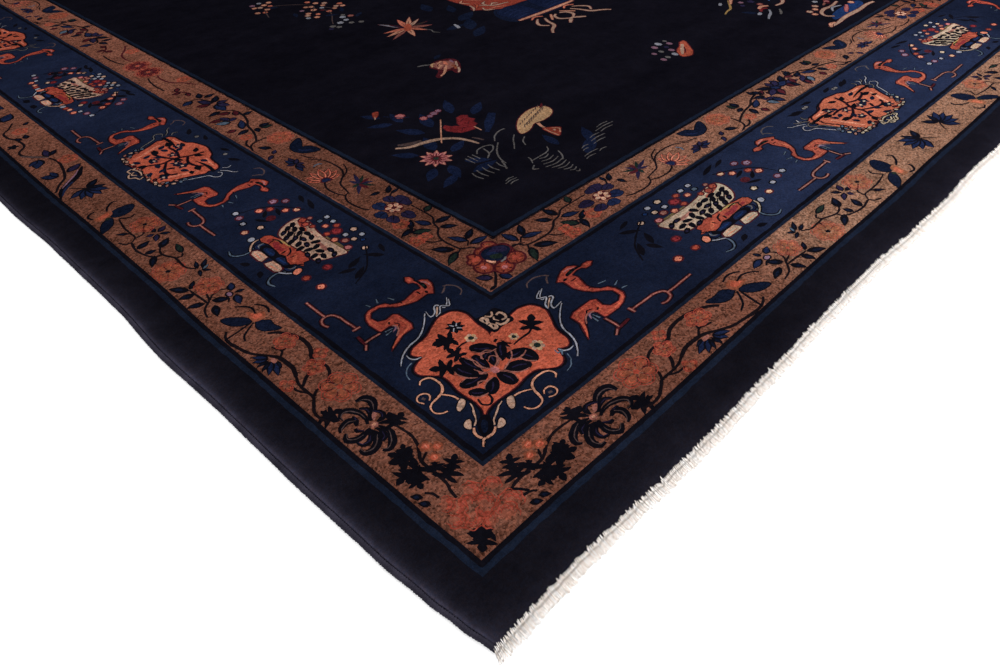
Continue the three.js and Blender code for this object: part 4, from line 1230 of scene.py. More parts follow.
def add_camera():
    data = bpy.data.cameras.new("camera")
    data.lens, data.sensor_width, data.clip_start, data.clip_end = LENS, 36, 0.05, 60
    camera = bpy.data.objects.new("camera", data)
    look = (AIM - EYE).to_track_quat("-Z", "Y").to_matrix().to_4x4()
    camera.matrix_world = Matrix.Translation(EYE) @ look @ Matrix.Rotation(ROLL, 4, "Z")
    scene.collection.objects.link(camera)
    scene.camera = camera


def add_area(name, where, towards, size, power, colour=(1, 1, 1)):
    data = bpy.data.lights.new(name, "AREA")
    data.shape, data.size, data.energy, data.color = "DISK", size, power, colour
    light = bpy.data.objects.new(name, data)
    light.matrix_world = Matrix.Translation(where) @ (Vector(towards) - Vector(where)).to_track_quat(
        "-Z", "Y").to_matrix().to_4x4()
    scene.collection.objects.link(light)


def srgb(code):
    """Linear colour of a six-digit web colour"""
    parts = [int(code[i:i + 2], 16) / 255 for i in (0, 2, 4)]
    return [c / 12.92 if c <= 0.04045 else ((c + 0.055) / 1.055) ** 2.4 for c in parts]


def plain_material(name, colour, roughness):
    material = bpy.data.materials.new(name)
    material.use_nodes = True
    shader = material.node_tree.nodes["Principled BSDF"]
    shader.inputs["Base Color"].default_value = (*colour, 1)
    shader.inputs["Roughness"].default_value = roughness
    return material, material.node_tree, shader


def new_mesh(name, places, faces, material):
    mesh = bpy.data.meshes.new(name)
    mesh.from_pydata(places, [], faces)
    mesh.materials.append(material)
    piece = bpy.data.objects.new(name, mesh)
    scene.collection.objects.link(piece)
    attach(piece, "root")
    return piece


scene.view_settings.view_transform = "Standard"
world = bpy.data.worlds.new("studio")
world.use_nodes = True
world.node_tree.nodes["Background"].inputs["Color"].default_value = (1, 1, 1, 1)
world.node_tree.nodes["Background"].inputs["Strength"].default_value = 1.0
scene.world = world
add_camera()
add_area("softbox", (2.1, -2.3, 2.1), (0.2, -1.2, 0.0), 2.4, 130)

floor_material, _, floor_shader = plain_material("studio_floor", (0.93, 0.93, 0.93), 0.9)
# A little light comes up through the floor, as on a light table
floor_shader.inputs["Emission Color"].default_value = (1, 1, 1, 1)
floor_shader.inputs["Emission Strength"].default_value = 0.35
floor_mesh = bpy.data.meshes.new("floor")
FLOOR_HALF = 14
floor_mesh.from_pydata([(x * FLOOR_HALF, y * FLOOR_HALF, 0)
                        for x, y in ((-1, -1), (1, -1), (1, 1), (-1, 1))], [],
                       [(0, 1, 2, 3)])
floor_mesh.materials.append(floor_material)
floor = bpy.data.objects.new("floor", floor_mesh)
scene.collection.objects.link(floor)

# Dyes, as the photo shows them under the same light
LIGHT = 1.32          # how much brighter than its own colour a level surface comes out
DYES = {
    "ground": "0d0c13", "plain": "0f0e14", "tan": "643e32", "navy": "111626", "ink": "0d0c12",
    "vine": "140f13",
    "blue": "161d36", "coral": "9b4a38", "salmon": "b46854", "cream": "9e7e6e", "pink": "9c5c5c",
    "pinkish": "b07c66",
    "violet": "1e1a30", "green": "18211e", "grey": "44505f", "pale": "80808a", "deep": "0f1424",
    "maroon": "3c141a",
    "rust": "84382c", "sky": "34507a", "ochre": "8c7046", "mist": "5a5656", "mauve": "745464",
    "accent": "141a28",
    "brick": "883a2f", "rose": "805048", "fawn": "967868", "royal": "16284c", "red": "702428",
    "olive": "54442f",
    "umber": "443636", "blush": "76402f", "dusk": "10162a", "buff": "a58262", "petal": "7a4436",
    "russet": "6e3226",
}
DYE_NAMES = list(DYES)
# other dyes 0.6
GRAIN = {"tan": 1.0, "ground": 0.12, "plain": 0.2, "ink": 0.2, "vine": 0.3, "navy": 0.3, "accent": 0.3}
DYE_TABLE = np.array([[c / LIGHT for c in srgb(code)] + [GRAIN.get(name, 0.6)]
                      for name, code in DYES.items()])

# The pile: each strip of the borders is triangulated along the outlines of its pattern
TOP = 9.0             # pile's height above the floor
EDGE_FALL = 6.0       # how far in from the rug's edge the pile rounds over
CARVING = 1.8         # depth of the groove clipped along the borders' lines
CARVING_HALF = 4.0
CORD = 8.4            # the side cord and its gap
GROUNDS = {"edge": "plain", "outer": "tan", "main": "navy", "inner": "tan", "field": "ground"}
pile_pieces, counts = [], {}
UNDERLAY = 3.0        # foundation's thickness
random = np.random.default_rng(7)


def inside(outline, points):
    """Which points an outline winds round"""
    a = outline[:, None] - points[None]
    return abs(np.angle(np.roll(a, -1, axis=0) / a).sum(axis=0)) > 3


def pile_height(z):
    """Height of the pile's surface over points of the cut rug"""
    x, y = z.real, z.imag
    swell_ = 0.5 * np.sin(x / 190 + 1.3 * np.sin(y / 410)) + 0.5 * np.sin(y / 230 + x / 520)
    beside, beyond = np.minimum(x - CORD, WIDTH - CORD - x), np.minimum(y, LENGTH - y)
    edge = np.minimum(beside, beyond)
    at_side, at_end = np.clip(1 - beside / EDGE_FALL, 0, 1), np.clip(1 - beyond / EDGE_FALL, 0, 1)
    side, end = np.minimum(x, WIDTH - x), np.minimum(y, LENGTH - y)
    off = np.min([np.where((side >= s - 8) & (end >= e - 8), np.minimum(abs(side - s), abs(end - e)), 99)
                  for s, e in zip(SIDE_LINES[1:], END_LINES[1:])], axis=0)
    carved = CARVING * np.exp(-(off / 2.2) ** 2)
    rounded = np.sqrt(np.maximum(1 - 0.97 * at_end ** 2, 0)) * np.sqrt(1 - 0.45 * at_side ** 2) \
        * np.clip(0.06 + beside / 0.6, 0, 1)
    return (TOP + 0.6 * swell_ * np.clip(edge / 60, 0, 1)) * rounded - carved


def ease(x, start, stop):
    """0 before start, 1 after stop and smooth between"""
    t = np.clip((x - start) / (stop - start), 0, 1)
    return t * t * (3 - 2 * t)


# Share of the painted sheen, highlights and broad tones that the motifs' dyes take, against their ground
MOTIF_SHINE = {"edge": 0.5, "outer": 0.5, "main": 0.1, "inner": 0.5, "field": 0.5}
# How much paler the warm dyes are painted along the near end, their green and blue raised as a whitish
# painted sheen
SHEEN_PALING = {"edge": 0.2, "outer": 0.36, "main": 0.3, "inner": 0.2, "field": 0.0}
FIELD_WEAR = 0.68     # how much duller the pale dyes are in the field's short, worn motifs
# Strength of the painted sheen along the near end, by band
NEAR_END_SHINE = {"edge": 0.35, "outer": 0.6, "main": 0.9, "inner": 0.45, "field": 0.0}


def sheen_reach(z):
    """Where the near end's painted sheen falls, from 0 to 1, over points of the cut rug: where its pile
    leans to the light
    """
    return ease(np.minimum(z.real, WIDTH - z.real), 680, 1010) * (1 - ease(z.imag, END_LINES[4], 900))


def painted_sheen_and_tone(band, z):
    """How much lighter the pile's colour is painted, over points of the cut rug: painted sheen along the
    near end and on the main border, painted highlights on the plain band's rim and near corner, and broad
    lighter and darker stretches along the guards
    """
    from_side, from_end = np.minimum(z.real, WIDTH - z.real), np.minimum(z.imag, LENGTH - z.imag)
    # Painted sheen where the near end's pile leans to the light
    light = 1 + NEAR_END_SHINE[band] * sheen_reach(z)
    if band in ("outer", "inner"):
        # Broad lighter and darker stretches along the guards
        light = light * (1 + 0.1 * ease(z.imag, 400, 900) + 0.25 * ease(z.imag, 1200, 2400))
    if band == "outer":
        light = light * (1 - 0.2 * ease(z.imag, 850, 950) * (1 - ease(z.imag, 1250, 1450)))
    if band == "inner":
        light = light * (1 - 0.33 * ease(z.imag, 450, 620) * (1 - ease(z.imag, 1050, 1200)))
    if band == "main":
        # Painted sheen on the main border: less of the near end's sheen towards its inner line, more away
        # from the near corner and far along the sides
        light = 1 + (light - 1) * (1 - 0.55 * ease(from_end, END_LINES[2] + 60, END_LINES[3]))
        light = light * (1 + 0.35 * ease(np.maximum(from_side, from_end), 300, 1300)
                         + 0.45 * ease(np.where(from_side < from_end, from_end, 0), 1250, 1600))
    if band == "edge":
        # Painted highlight along the plain band's rounded rim, brightest just inside the cord, and along the
        # ends
        rim = (4.6 * np.exp(-from_side / 16) + 13.0 * np.exp(-(from_side - CORD) / 2.4)) \
            * (1 - 0.6 * ease(from_end, 600, 1600)) + 1.3 * np.exp(-from_end / 20)
        # Painted highlight on the plain band by the near corner
        corner = (1 - ease(abs(z), 200, 900)) * ease(z.real - z.imag, -80, 120)
        light = light * (1 + rim) * (1 + 0.4 * corner)
    return light


def stepped(points, step):
    """An outline with points added so that none are further apart than a step"""
    out = []
    for a, b in zip(points, points[1:] + points[:1]):
        n = max(1, math.ceil(abs(b - a) / step))
        out += [a + (b - a) * i / n for i in range(n)]
    return np.array(out)


def to_frame(z, height):
    """Laid places of points of the cut rug, in metres in the model's frame"""
    w = lay(z)
    return np.column_stack([(w.real - WIDTH / 2) / 1000, (w.imag - LENGTH / 2) / 1000, height / 1000])


def pile_piece(name, band, rows, row_uv, shapes, rungs=()):
    """A piece of pile. rows: outlines that make up the strip. row_uv: where points come on the bake map.
    shapes: (dye, outline) drawn one over another. rungs: lines that the mesh has to follow."""
    outlines = [stepped(row, 45) for row in rows]
    low = min(o.real.min() for o in outlines) + 1j * min(o.imag.min() for o in outlines)
    high = max(o.real.max() for o in outlines) + 1j * max(o.imag.max() for o in outlines)
    drawn = []
    for dye, z in shapes:
        if z.real.max() > low.real and z.real.min() < high.real and z.imag.max() > low.imag \
                and z.imag.min() < high.imag:
            drawn.append((DYE_NAMES.index(dye), z))
    lines = outlines + [z for _, z in drawn]
    points, edges, n = [], [], 0
    for z in lines:
        points.append(z)
        edges += [(n + i, n + (i + 1) % len(z)) for i in range(len(z))]
        n += len(z)
    for z in rungs:
        points.append(z)
        edges += [(n + i, n + i + 1) for i in range(len(z) - 1)]
        n += len(z)
    gx, gy = np.meshgrid(np.arange(low.real + 27, high.real, 55), np.arange(low.imag + 27, high.imag, 55))
    points.append((gx + 1j * gy).ravel())
    points = np.concatenate(points)
    made = delaunay_2d_cdt([Vector((p.real, p.imag)) for p in points], edges, [], 0, 1e-3, False)
    z = np.array([v[0] + 1j * v[1] for v in made[0]])
    faces = np.array(made[2])
    centre = z[faces].mean(axis=1)
    row = np.full(len(faces), -1)
    for i, outline in enumerate(outlines):
        near = np.flatnonzero((centre.real >= outline.real.min()) & (centre.real <= outline.real.max())
                              & (centre.imag >= outline.imag.min()) & (centre.imag <= outline.imag.max()))
        row[near[inside(outline, centre[near])]] = i
    faces, centre, row = faces[row >= 0], centre[row >= 0], row[row >= 0]
    area = np.imag((z[faces[:, 1]] - z[faces[:, 0]]).conj() * (z[faces[:, 2]] - z[faces[:, 0]])) / 2
    keep = abs(area) > 1e-4
    faces, centre, row, area = faces[keep], centre[keep], row[keep], area[keep]
    faces[area < 0] = faces[area < 0][:, ::-1]
    dye = np.full(len(faces), DYE_NAMES.index(GROUNDS[band]))
    for index, outline in drawn:
        near = np.flatnonzero((centre.real >= outline.real.min()) & (centre.real <= outline.real.max())
                              & (centre.imag >= outline.imag.min()) & (centre.imag <= outline.imag.max()))
        if len(near):
            dye[near[inside(outline, centre[near])]] = index
    used, faces = np.unique(faces, return_inverse=True)
    faces = faces.reshape(-1, 3)
    z = z[used]
    piece = new_mesh(name, to_frame(z, pile_height(z)).tolist(), faces.tolist(), pile_material)
    mesh = piece.data
    colours = mesh.color_attributes.new("Dye", "FLOAT_COLOR", "CORNER")
    shades = np.repeat(DYE_TABLE[dye], 3, axis=0)
    # The painted sheen, highlights and broad tones are multiplied into the dye colours
    share = np.where(dye == DYE_NAMES.index(GROUNDS[band]), 1.0, MOTIF_SHINE[band])
    shades[:, :3] *= (painted_sheen_and_tone(band, z[faces.ravel()]) ** np.repeat(share, 3))[:, None]
    # The warm dyes are painted paler where the near end's painted sheen falls
    warm = shades[:, 0] > 1.3 * shades[:, 2]
    shades[:, 1:3] *= (1 + SHEEN_PALING[band] * sheen_reach(z[faces.ravel()]) * warm)[:, None]
    if band == "field":
        shades[shades[:, :3].mean(axis=1) > 0.03, :3] *= FIELD_WEAR
    colours.data.foreach_set("color", shades.ravel())
    uv = row_uv(np.repeat(row, 3), z[faces.ravel()])
    layer = mesh.uv_layers.new(name="OFBake")
    layer.data.foreach_set("uv", np.column_stack([uv.real, uv.imag]).ravel())
    mesh.polygons.foreach_set("use_smooth", [True] * len(faces))
    mesh.update()
    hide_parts("pile_slab")
    pile_pieces.append(piece)
    counts[name] = len(faces)
    return piece


def strip(band, lines, arm, shapes, rungs=()):
    """One arm of a border between two of its lines: (side, end) distances in from the edges"""
    (s0, e0), (s1, e1) = lines
    along_end = arm.endswith("end")
    far = arm.startswith("far")
    length = WIDTH if along_end else LENGTH
    outer, inner = (e0, e1) if along_end else (s0, s1)
    c0, c1 = (s0, s1) if along_end else (e0, e1)
    rows_wanted = max(2, round(math.sqrt(length / (inner - outer))))
    cuts = [c1 + (length - 2 * c1) * i / rows_wanted for i in range(rows_wanted + 1)]
    corners = [[(c0, outer), (cuts[1], outer), (cuts[1], inner), (c1, inner)]]
    corners += [[(a, outer), (b, outer), (b, inner), (a, inner)] for a, b in zip(cuts[1:-2], cuts[2:-1])]
    corners += [[(cuts[-2], outer), (length - c0, outer), (length - c1, inner), (cuts[-2], inner)]]
    starts = [row[0][0] for row in corners]
    longest = max(row[1][0] - row[0][0] for row in corners)

    def place(s, v):
        if along_end:
            return complex(s, LENGTH - v if far else v)
        return complex(WIDTH - v if far else v, s)

    def row_uv(row, z):
        s, v = (z.real, z.imag) if along_end else (z.imag, z.real)
        if far:
            v = (LENGTH if along_end else WIDTH) - v
        u = (s - np.array(starts)[row]) / longest
        return 0.01 + 0.98 * u + 1j * (row + 0.06 + 0.88 * (v - outer) / (inner - outer)) / len(corners)

    return pile_piece(f"pile_{band}_{arm}", band, [[place(*c) for c in row] for row in corners], row_uv,
                      shapes, rungs)


def border_lines():
    """The plain lines drawn along the borders' edges, by band"""
    def frame_line(k, dye, start, stop):
        (s, e) = SIDE_LINES[k], END_LINES[k]
        out = []
        for x0, x1, y0, y1 in ((s + start, s + stop, e + start, LENGTH - e - start),
                               (WIDTH - s - stop, WIDTH - s - start, e + start, LENGTH - e - start),
                               (s + start, WIDTH - s - start, e + start, e + stop),
                               (s + start, WIDTH - s - start, LENGTH - e - stop, LENGTH - e - start)):
            z = stepped([complex(x0, y0), complex(x1, y0), complex(x1, y1), complex(x0, y1)], 13)
            out.append((dye, z + random.uniform(-0.9, 0.9, len(z)) + 1j * random.uniform(-0.9, 0.9, len(z))))
        return out
    return {
        "edge": frame_line(1, "accent", -17, -8) + frame_line(1, "ink", -8, 0),
        "outer": [],
        "main": frame_line(2, "accent", 0, 5) + frame_line(2, "ink", 5, 13)
        + frame_line(3, "ink", -19, -11) + frame_line(3, "accent", -11, -4) + frame_line(3, "tan", -4, 0),
        "inner": frame_line(4, "ink", -4, 0),
        "field": frame_line(4, "ink", 0, 3) + frame_line(4, "accent", 3, 12),
    }


def whole_pattern():
    """The quarter's pattern mirrored to all four corners, by band, in the wool's wavering outline"""
    drawn = border_lines()
    for band, shapes in quarter().items():
        for mirror_x in (False, True):
            for mirror_y in (False, True):
                for dye, z in shapes:
                    if band == "field" and mirror_x != mirror_y:
                        continue
                    x = WIDTH - z.real if mirror_x else z.real
                    y = LENGTH - z.imag if mirror_y else z.imag
                    waver = random.uniform(-0.4, 0.4, len(z)) + 1j * random.uniform(-0.4, 0.4, len(z))
                    drawn[band].append((dye, x + 1j * y + waver))
    return drawn


# Materials
class Nodes:
    """Short names for building a material's nodes"""

    def __init__(self, tree):
        self.tree = tree

    def add(self, kind, **values):
        node = self.tree.nodes.new("ShaderNode" + kind)
        for key, value in values.items():
            if key.startswith("in_"):
                node.inputs[int(key[3:]) if key[3:].isdigit()
                            else key[3:].replace("_", " ")].default_value = value
            else:
                setattr(node, key, value)
        return node

    def link(self, a, b):
        self.tree.links.new(a, b)

    def maths(self, operation, *values, clamp=False):
        node = self.add("Math", operation=operation, use_clamp=clamp)
        for i, value in enumerate(values):
            if isinstance(value, (int, float)):
                node.inputs[i].default_value = value
            else:
                self.link(value, node.inputs[i])
        return node.outputs[0]

    def spread(self, value, low, high, start=0.0, stop=1.0):
        node = self.add("MapRange", in_1=start, in_2=stop, in_3=low, in_4=high)
        self.link(value, node.inputs[0])
        return node.outputs[0]

    def mix(self, blend, share, a, b):
        node = self.add("Mix", data_type="RGBA", blend_type=blend)
        for socket, value in ((0, share), (6, a), (7, b)):
            if isinstance(value, (int, float, tuple)):
                node.inputs[socket].default_value = value
            else:
                self.link(value, node.inputs[socket])
        return node.outputs[2]

    def noise(self, coordinates, scale, detail=2.0, roughness=0.5):
        node = self.add("TexNoise", in_Scale=scale, in_Detail=detail, in_Roughness=roughness)
        self.link(coordinates, node.inputs["Vector"])
        return node.outputs["Fac"]

    def stretched(self, coordinates, x, y, z=1.0):
        node = self.add("Mapping", in_Scale=(x, y, z))
        self.link(coordinates, node.inputs["Vector"])
        return node.outputs[0]


def wool_pile():
    """Cut wool knots: the dye of each knot varies a little, with broad bands of stronger and weaker dye"""
    material, tree, shader = plain_material("wool_pile", (0.01, 0.01, 0.02), 0.95)
    n = Nodes(tree)
    place = n.add("TexCoord").outputs["Object"]
    attribute = n.add("Attribute", attribute_name="Dye")
    dye, grain = attribute.outputs["Color"], attribute.outputs["Alpha"]
    knots = n.add("TexVoronoi", in_Scale=1.0, in_Randomness=0.75)
    n.link(n.stretched(place, 330, 370, 0.01), knots.inputs["Vector"])
    knot_shade = n.add("SeparateColor")
    n.link(knots.outputs["Color"], knot_shade.inputs[0])
    yarn = n.noise(place, 1400, 2)
    patch = n.noise(place, 42, 3)
    band = n.noise(n.stretched(place, 0.5, 7.0), 1.0, 3)
    clump = n.noise(place, 125, 1)
    speckle = n.maths("ADD", n.spread(knot_shade.outputs[0], -0.62, 0.62),
                      n.spread(clump, -0.22, 0.22, 0.3, 0.7))
    value = n.maths("MULTIPLY_ADD", speckle, grain, 1.0)
    value = n.maths("MAXIMUM", n.maths("MULTIPLY", value, n.spread(yarn, 0.84, 1.16, 0.3, 0.7)), 0.12)
    value = n.maths("MULTIPLY", value, n.spread(patch, 0.88, 1.12, 0.3, 0.7))
    value = n.maths("MULTIPLY", value, n.spread(n.noise(n.stretched(place, 9, 15), 1.0, 3), 0.88, 1.12, 0.35,
                                                0.65))
    value = n.maths("MULTIPLY", value, n.spread(band, 0.88, 1.12, 0.35, 0.65))
    warm = n.mix("MIX", knot_shade.outputs[1], (1.06, 0.97, 0.90, 1), (0.95, 1.03, 1.08, 1))
    shaded = n.mix("MULTIPLY", 1.0, dye, warm)
    scale = n.add("VectorMath", operation="SCALE")
    n.link(shaded, scale.inputs[0])
    n.link(value, scale.inputs["Scale"])
    n.link(scale.outputs[0], shader.inputs["Base Color"])
    tufts = n.maths("ADD", n.maths("MULTIPLY", knots.outputs["Distance"], -0.6),
                    n.maths("MULTIPLY", yarn, 0.9))
    bump = n.add("Bump", in_Strength=0.55, in_Distance=0.0016)
    n.link(n.maths("ADD", tufts, n.maths("MULTIPLY", patch, 1.2)), bump.inputs["Height"])
    n.link(bump.outputs[0], shader.inputs["Normal"])
    shader.inputs["Specular IOR Level"].default_value = 0.0
    return material


def cord_wool():
    """Dark wool yarn wound round the side cords"""
    material, tree, shader = plain_material("cord_wool", (0.006, 0.005, 0.011), 0.9)
    n = Nodes(tree)
    place = n.add("TexCoord").outputs["Object"]
    fibre = n.noise(n.stretched(place, 2600, 500, 2600), 1.0, 2)
    patch = n.noise(place, 25, 2)
    value = n.maths("MULTIPLY", n.spread(fibre, 0.6, 1.4, 0.3, 0.7), n.spread(patch, 0.7, 1.3, 0.3, 0.7))
    # Dark navy yarn painted lighter, as light as the painted highlight on the pile's rim beside it
    scale = n.add("VectorMath", operation="SCALE", in_0=(0.0275, 0.0250, 0.0370))
    n.link(value, scale.inputs["Scale"])
    n.link(scale.outputs[0], shader.inputs["Base Color"])
    bump = n.add("Bump", in_Strength=0.5, in_Distance=0.0006)
    n.link(fibre, bump.inputs["Height"])
    n.link(bump.outputs[0], shader.inputs["Normal"])
    shader.inputs["Specular IOR Level"].default_value = 0.0
    return material


def cotton():
    """Plied cotton warp, each end a little lighter or darker"""
    material, tree, shader = plain_material("cotton_warp", (0.7, 0.65, 0.58), 0.95)
    n = Nodes(tree)
    place = n.add("TexCoord").outputs["Object"]
    tint = n.add("Attribute", attribute_name="Tint").outputs["Color"]
    fibre = n.noise(place, 900, 3)
    scale = n.add("VectorMath", operation="SCALE")
    n.link(tint, scale.inputs[0])
    n.link(n.spread(fibre, 0.92, 1.06, 0.3, 0.7), scale.inputs["Scale"])
    n.link(scale.outputs[0], shader.inputs["Base Color"])
    bump = n.add("Bump", in_Strength=0.4, in_Distance=0.0004)
    n.link(fibre, bump.inputs["Height"])
    n.link(bump.outputs[0], shader.inputs["Normal"])
    shader.inputs["Specular IOR Level"].default_value = 0.2
    return material


def foundation_weave():
    """The back of the knots: navy nodes in rows on pale cotton weft"""
    material, tree, shader = plain_material("foundation_weave", (0.02, 0.02, 0.03), 0.95)
    n = Nodes(tree)
    place = n.add("TexCoord").outputs["Object"]
    knots = n.add("TexBrick", offset=0.5, in_Scale=1.0, in_Color1=(0.012, 0.011, 0.02, 1),
                  in_Color2=(0.02, 0.018, 0.03, 1),
                  in_Mortar=(0.3, 0.26, 0.2, 1), in_6=0.05)
    n.link(n.stretched(place, 170, 170), knots.inputs["Vector"])
    n.link(knots.outputs["Color"], shader.inputs["Base Color"])
    bump = n.add("Bump", in_Strength=0.6, in_Distance=0.0008, invert=True)
    n.link(knots.outputs["Fac"], bump.inputs["Height"])
    n.link(bump.outputs[0], shader.inputs["Normal"])
    shader.inputs["Specular IOR Level"].default_value = 0.15
    return material


pile_material = wool_pile()
cord_material = cord_wool()
cotton_material = cotton()
weave_material = foundation_weave()

# The pile's pieces
pattern = whole_pattern()
BANDS = ("edge", "outer", "main", "inner")


def ring(side, end, step):
    """A closed line round the rug, inset from its sides and its ends"""
    corners = [complex(side, end), complex(WIDTH - side, end), complex(WIDTH - side, LENGTH - end),
               complex(side, LENGTH - end)]
    line = stepped(corners, step)
    return np.append(line, line[0])


for k, band in enumerate(BANDS):
    lines = [(SIDE_LINES[k], END_LINES[k]), (SIDE_LINES[k + 1], END_LINES[k + 1])]
    rungs = []
    if band == "edge":
        lines[0] = (CORD, 0)
        rungs += [ring(CORD + inset, inset, 15) for inset in (0.7, 2.0, 4.0, 6.5)]
        rungs += [ring(CORD + inset, inset, 30) for inset in (12, 20, 32, 50)]
    else:
        rungs.append(ring(lines[0][0] + CARVING_HALF, lines[0][1] + CARVING_HALF, 24))
    rungs.append(ring(lines[1][0] - CARVING_HALF, lines[1][1] - CARVING_HALF, 24))
    for arm in ("near_side", "far_side", "near_end", "far_end"):
        strip(band, lines, arm, pattern[band], rungs)
s, e = SIDE_LINES[4], END_LINES[4]
pile_piece("pile_field", "field", [[complex(s, e), complex(WIDTH - s, e), complex(WIDTH - s, LENGTH - e),
                                    complex(s, LENGTH - e)]],
           lambda row, z: 0.01
           + 0.98 * (z.real - s) / (WIDTH - 2 * s) + 1j * (0.01 + 0.98 * (z.imag - e) / (LENGTH - 2 * e)),
           pattern["field"], [ring(s + CARVING_HALF, e + CARVING_HALF, 24)])
print("triangles", sum(counts.values()), counts)


# Foundation, cords and fringes
def slab(name, inset, thickness, material):
    """A thin closed sheet of the rug's laid outline"""
    xs = np.append(np.arange(CORD + inset, WIDTH - CORD - inset, 60), WIDTH - CORD - inset)
    ys = np.append(np.arange(inset, LENGTH - inset, 60), LENGTH - inset)
    x, y = np.meshgrid(xs, ys)
    z = (x + 1j * y).ravel()
    places = np.vstack([to_frame(z, np.full(len(z), h)) for h in (0.0, thickness)])
    n, m, size = len(xs), len(ys), len(xs) * len(ys)
    quads = [(j * n + i, j * n + i + 1, (j + 1) * n + i + 1, (j + 1) * n + i) for j in range(m - 1)
             for i in range(n - 1)]
    faces = [q[::-1] for q in quads] + [tuple(v + size for v in q) for q in quads]
    rim = [i for i in range(n)] + [j * n + n - 1 for j in range(1, m)] + [(m - 1) * n + i
                                                                          for i in range(n - 2, -1, -1)] \
        + [j * n for j in range(m - 2, 0, -1)]
    faces += [(a, b, b + size, a + size) for a, b in zip(rim, rim[1:] + rim[:1])]
    return new_mesh(name, places.tolist(), faces, material)


WRAP = 3.6            # the overcasting yarn's pitch along the cord


def side_cord(name, far):
    """A side cord overcast with yarn: each turn of yarn stands proud and slants a little"""
    across, along = 4.0, np.arange(0, LENGTH + 0.1, WRAP / 3)
    around = np.linspace(0, 2 * np.pi, 10, endpoint=False)
    places, faces = [], []
    for i, y in enumerate(along):
        proud = (0.86, 1.0, 1.02)[i % 3] * (1 + 0.05 * math.sin(y / 17) + 0.04 * random.uniform(-1, 1))
        cosine, sine = np.cos(around), np.sin(around)
        power = np.where(cosine > 0, 0.45, 0.9)
        ragged = np.where(cosine < -0.2, random.uniform(-0.5, 0.7, len(around)), 0)
        x = across + 3.9 * proud * np.sign(cosine) * abs(cosine) ** power - ragged
        height = 3.5 + 3.5 * proud * np.sign(sine) * abs(sine) ** power
        z = (WIDTH - x if far else x) + 1j * np.clip(y + 0.9 * cosine, 0, LENGTH)
        places.append(to_frame(z, np.maximum(height, 0.0)))
    m = len(around)
    for i in range(len(along) - 1):
        for j in range(m):
            quad = (i * m + j, i * m + (j + 1) % m, (i + 1) * m + (j + 1) % m, (i + 1) * m + j)
            faces.append(quad[::-1] if not far else quad)
    caps = [tuple(range(m)), tuple(range((len(along) - 1) * m, len(along) * m))]
    faces += [caps[0], caps[1][::-1]] if not far else [caps[0][::-1], caps[1]]
    piece = new_mesh(name, np.vstack(places).tolist(), faces, cord_material)
    piece.data.polygons.foreach_set("use_smooth", [True] * len(piece.data.polygons))
    return piece


def wave(x, seed, *lengths):
    """A repeatable unevenness from about -1 to 1"""
    return sum(np.sin(x / length * 6.283 + seed * (3.1 + k))
               for k, length in enumerate(lengths)) / len(lengths)


STRAND_PITCH = 2.5
COTTON_TINTS = np.array([srgb(code) + [1] for code in ("fdf6f0", "f9efe8", "f4e9e0", "fef9f6")])


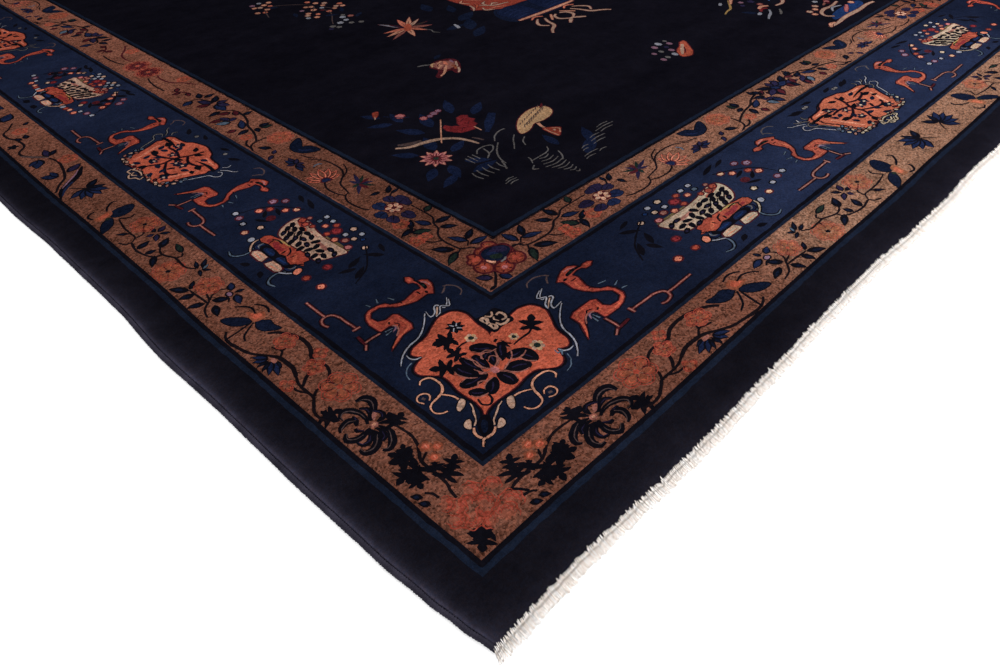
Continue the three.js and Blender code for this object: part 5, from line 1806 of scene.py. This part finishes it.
def fringe(name, far, seed):
    """Loose warp ends: two layers of fine strands that lean together.
    Tufts of them stand up against the pile."""
    places, faces, tints = [], [], []
    t = np.array([0, 0.2, 0.48, 0.76, 1.0])
    circle = np.exp(2j * np.pi * np.arange(3) / 3)
    tufts = np.cumsum(random.uniform(3.5, 8.5, round(WIDTH / 6) + 60))
    heights, halves = random.uniform(0.2, 1.0, len(tufts)), random.uniform(2.5, 5.5, len(tufts))
    for layer in range(2):
        for x in np.arange(1.5 + layer, WIDTH - 1, STRAND_PITCH):
            x = x + random.uniform(-0.5, 0.5)
            tuft = float(np.max(heights * np.maximum(1 - abs(x - tufts) / halves, 0)))
            start = 0.6 + layer * 3.8 * tuft + random.uniform(-0.4, 0.4)
            reach = -15.6 + 2.0 * wave(x, seed + 5, 67, 18,
                                       9) + random.uniform(-1.5, 1.5) + (1.6 if layer else 0)
            lean = 1.5 * wave(x, seed + 9, 33, 49, 15) + random.uniform(-0.4, 0.4)
            lean += 0.6 * (max(x - WIDTH + 14, 0) - max(14 - x, 0))
            level = float(pile_height(np.array([np.clip(x, CORD + 8, WIDTH - CORD - 8)
                                                + 1j * max(start, 0.3)]))[0])
            top = 2.6 + layer * (max(level - 2.6, 0) + 0.7)
            y = start + (reach - start) * t
            z = np.array([top, 1.9 + 0.55 * (top - 1.9), 1.6 + 0.3 * (top - 1.6), 1.2, 0.8]) \
                + random.uniform(-0.2, 0.2, 5) * (t > 0)
            px = x + lean * t ** 1.4
            radius = np.array([0.9, 1.3, 1.3, 1.15, 0.6]) * random.uniform(0.85, 1.1)
            base = len(places) * 3
            for k in range(5):
                section = radius[k] * circle * np.exp(0.9j * k)
                row = (px[k] + section.real) + 1j * np.full(3, LENGTH - y[k] if far else y[k])
                places.append(to_frame(row, np.maximum(z[k] + 0.5 * section.imag, 0.05)))
            for k in range(4):
                for j in range(3):
                    quad = (base + 3 * k + j, base + 3 * k + (j + 1) % 3, base + 3 * k + 3 + (j + 1) % 3,
                            base + 3 * k + 3 + j)
                    faces.append(quad if not far else quad[::-1])
            ends = [(base + 2, base + 1, base), (base + 12, base + 13, base + 14)]
            faces += ends if not far else [f[::-1] for f in ends]
            tint = COTTON_TINTS[int(random.integers(4))] * random.uniform(0.94, 1.0)
            tints += [tint] * 15
    piece = new_mesh(name, np.vstack(places).tolist(), faces, cotton_material)
    colours = piece.data.color_attributes.new("Tint", "FLOAT_COLOR", "POINT")
    colours.data.foreach_set("color", np.array(tints).ravel())
    piece.data.polygons.foreach_set("use_smooth", [True] * len(piece.data.polygons))
    return piece


foundation = slab("foundation", 1.5, UNDERLAY, weave_material)
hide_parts("pile_slab")
cord_near = side_cord("overcast_cord_near", False)
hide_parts("side_cord_near")
cord_far = side_cord("overcast_cord_far", True)
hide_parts("side_cord_far")
fringe_near = fringe("warp_fringe_near", False, 1.0)
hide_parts("fringe_near")
fringe_far = fringe("warp_fringe_far", True, 4.0)
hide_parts("fringe_far")
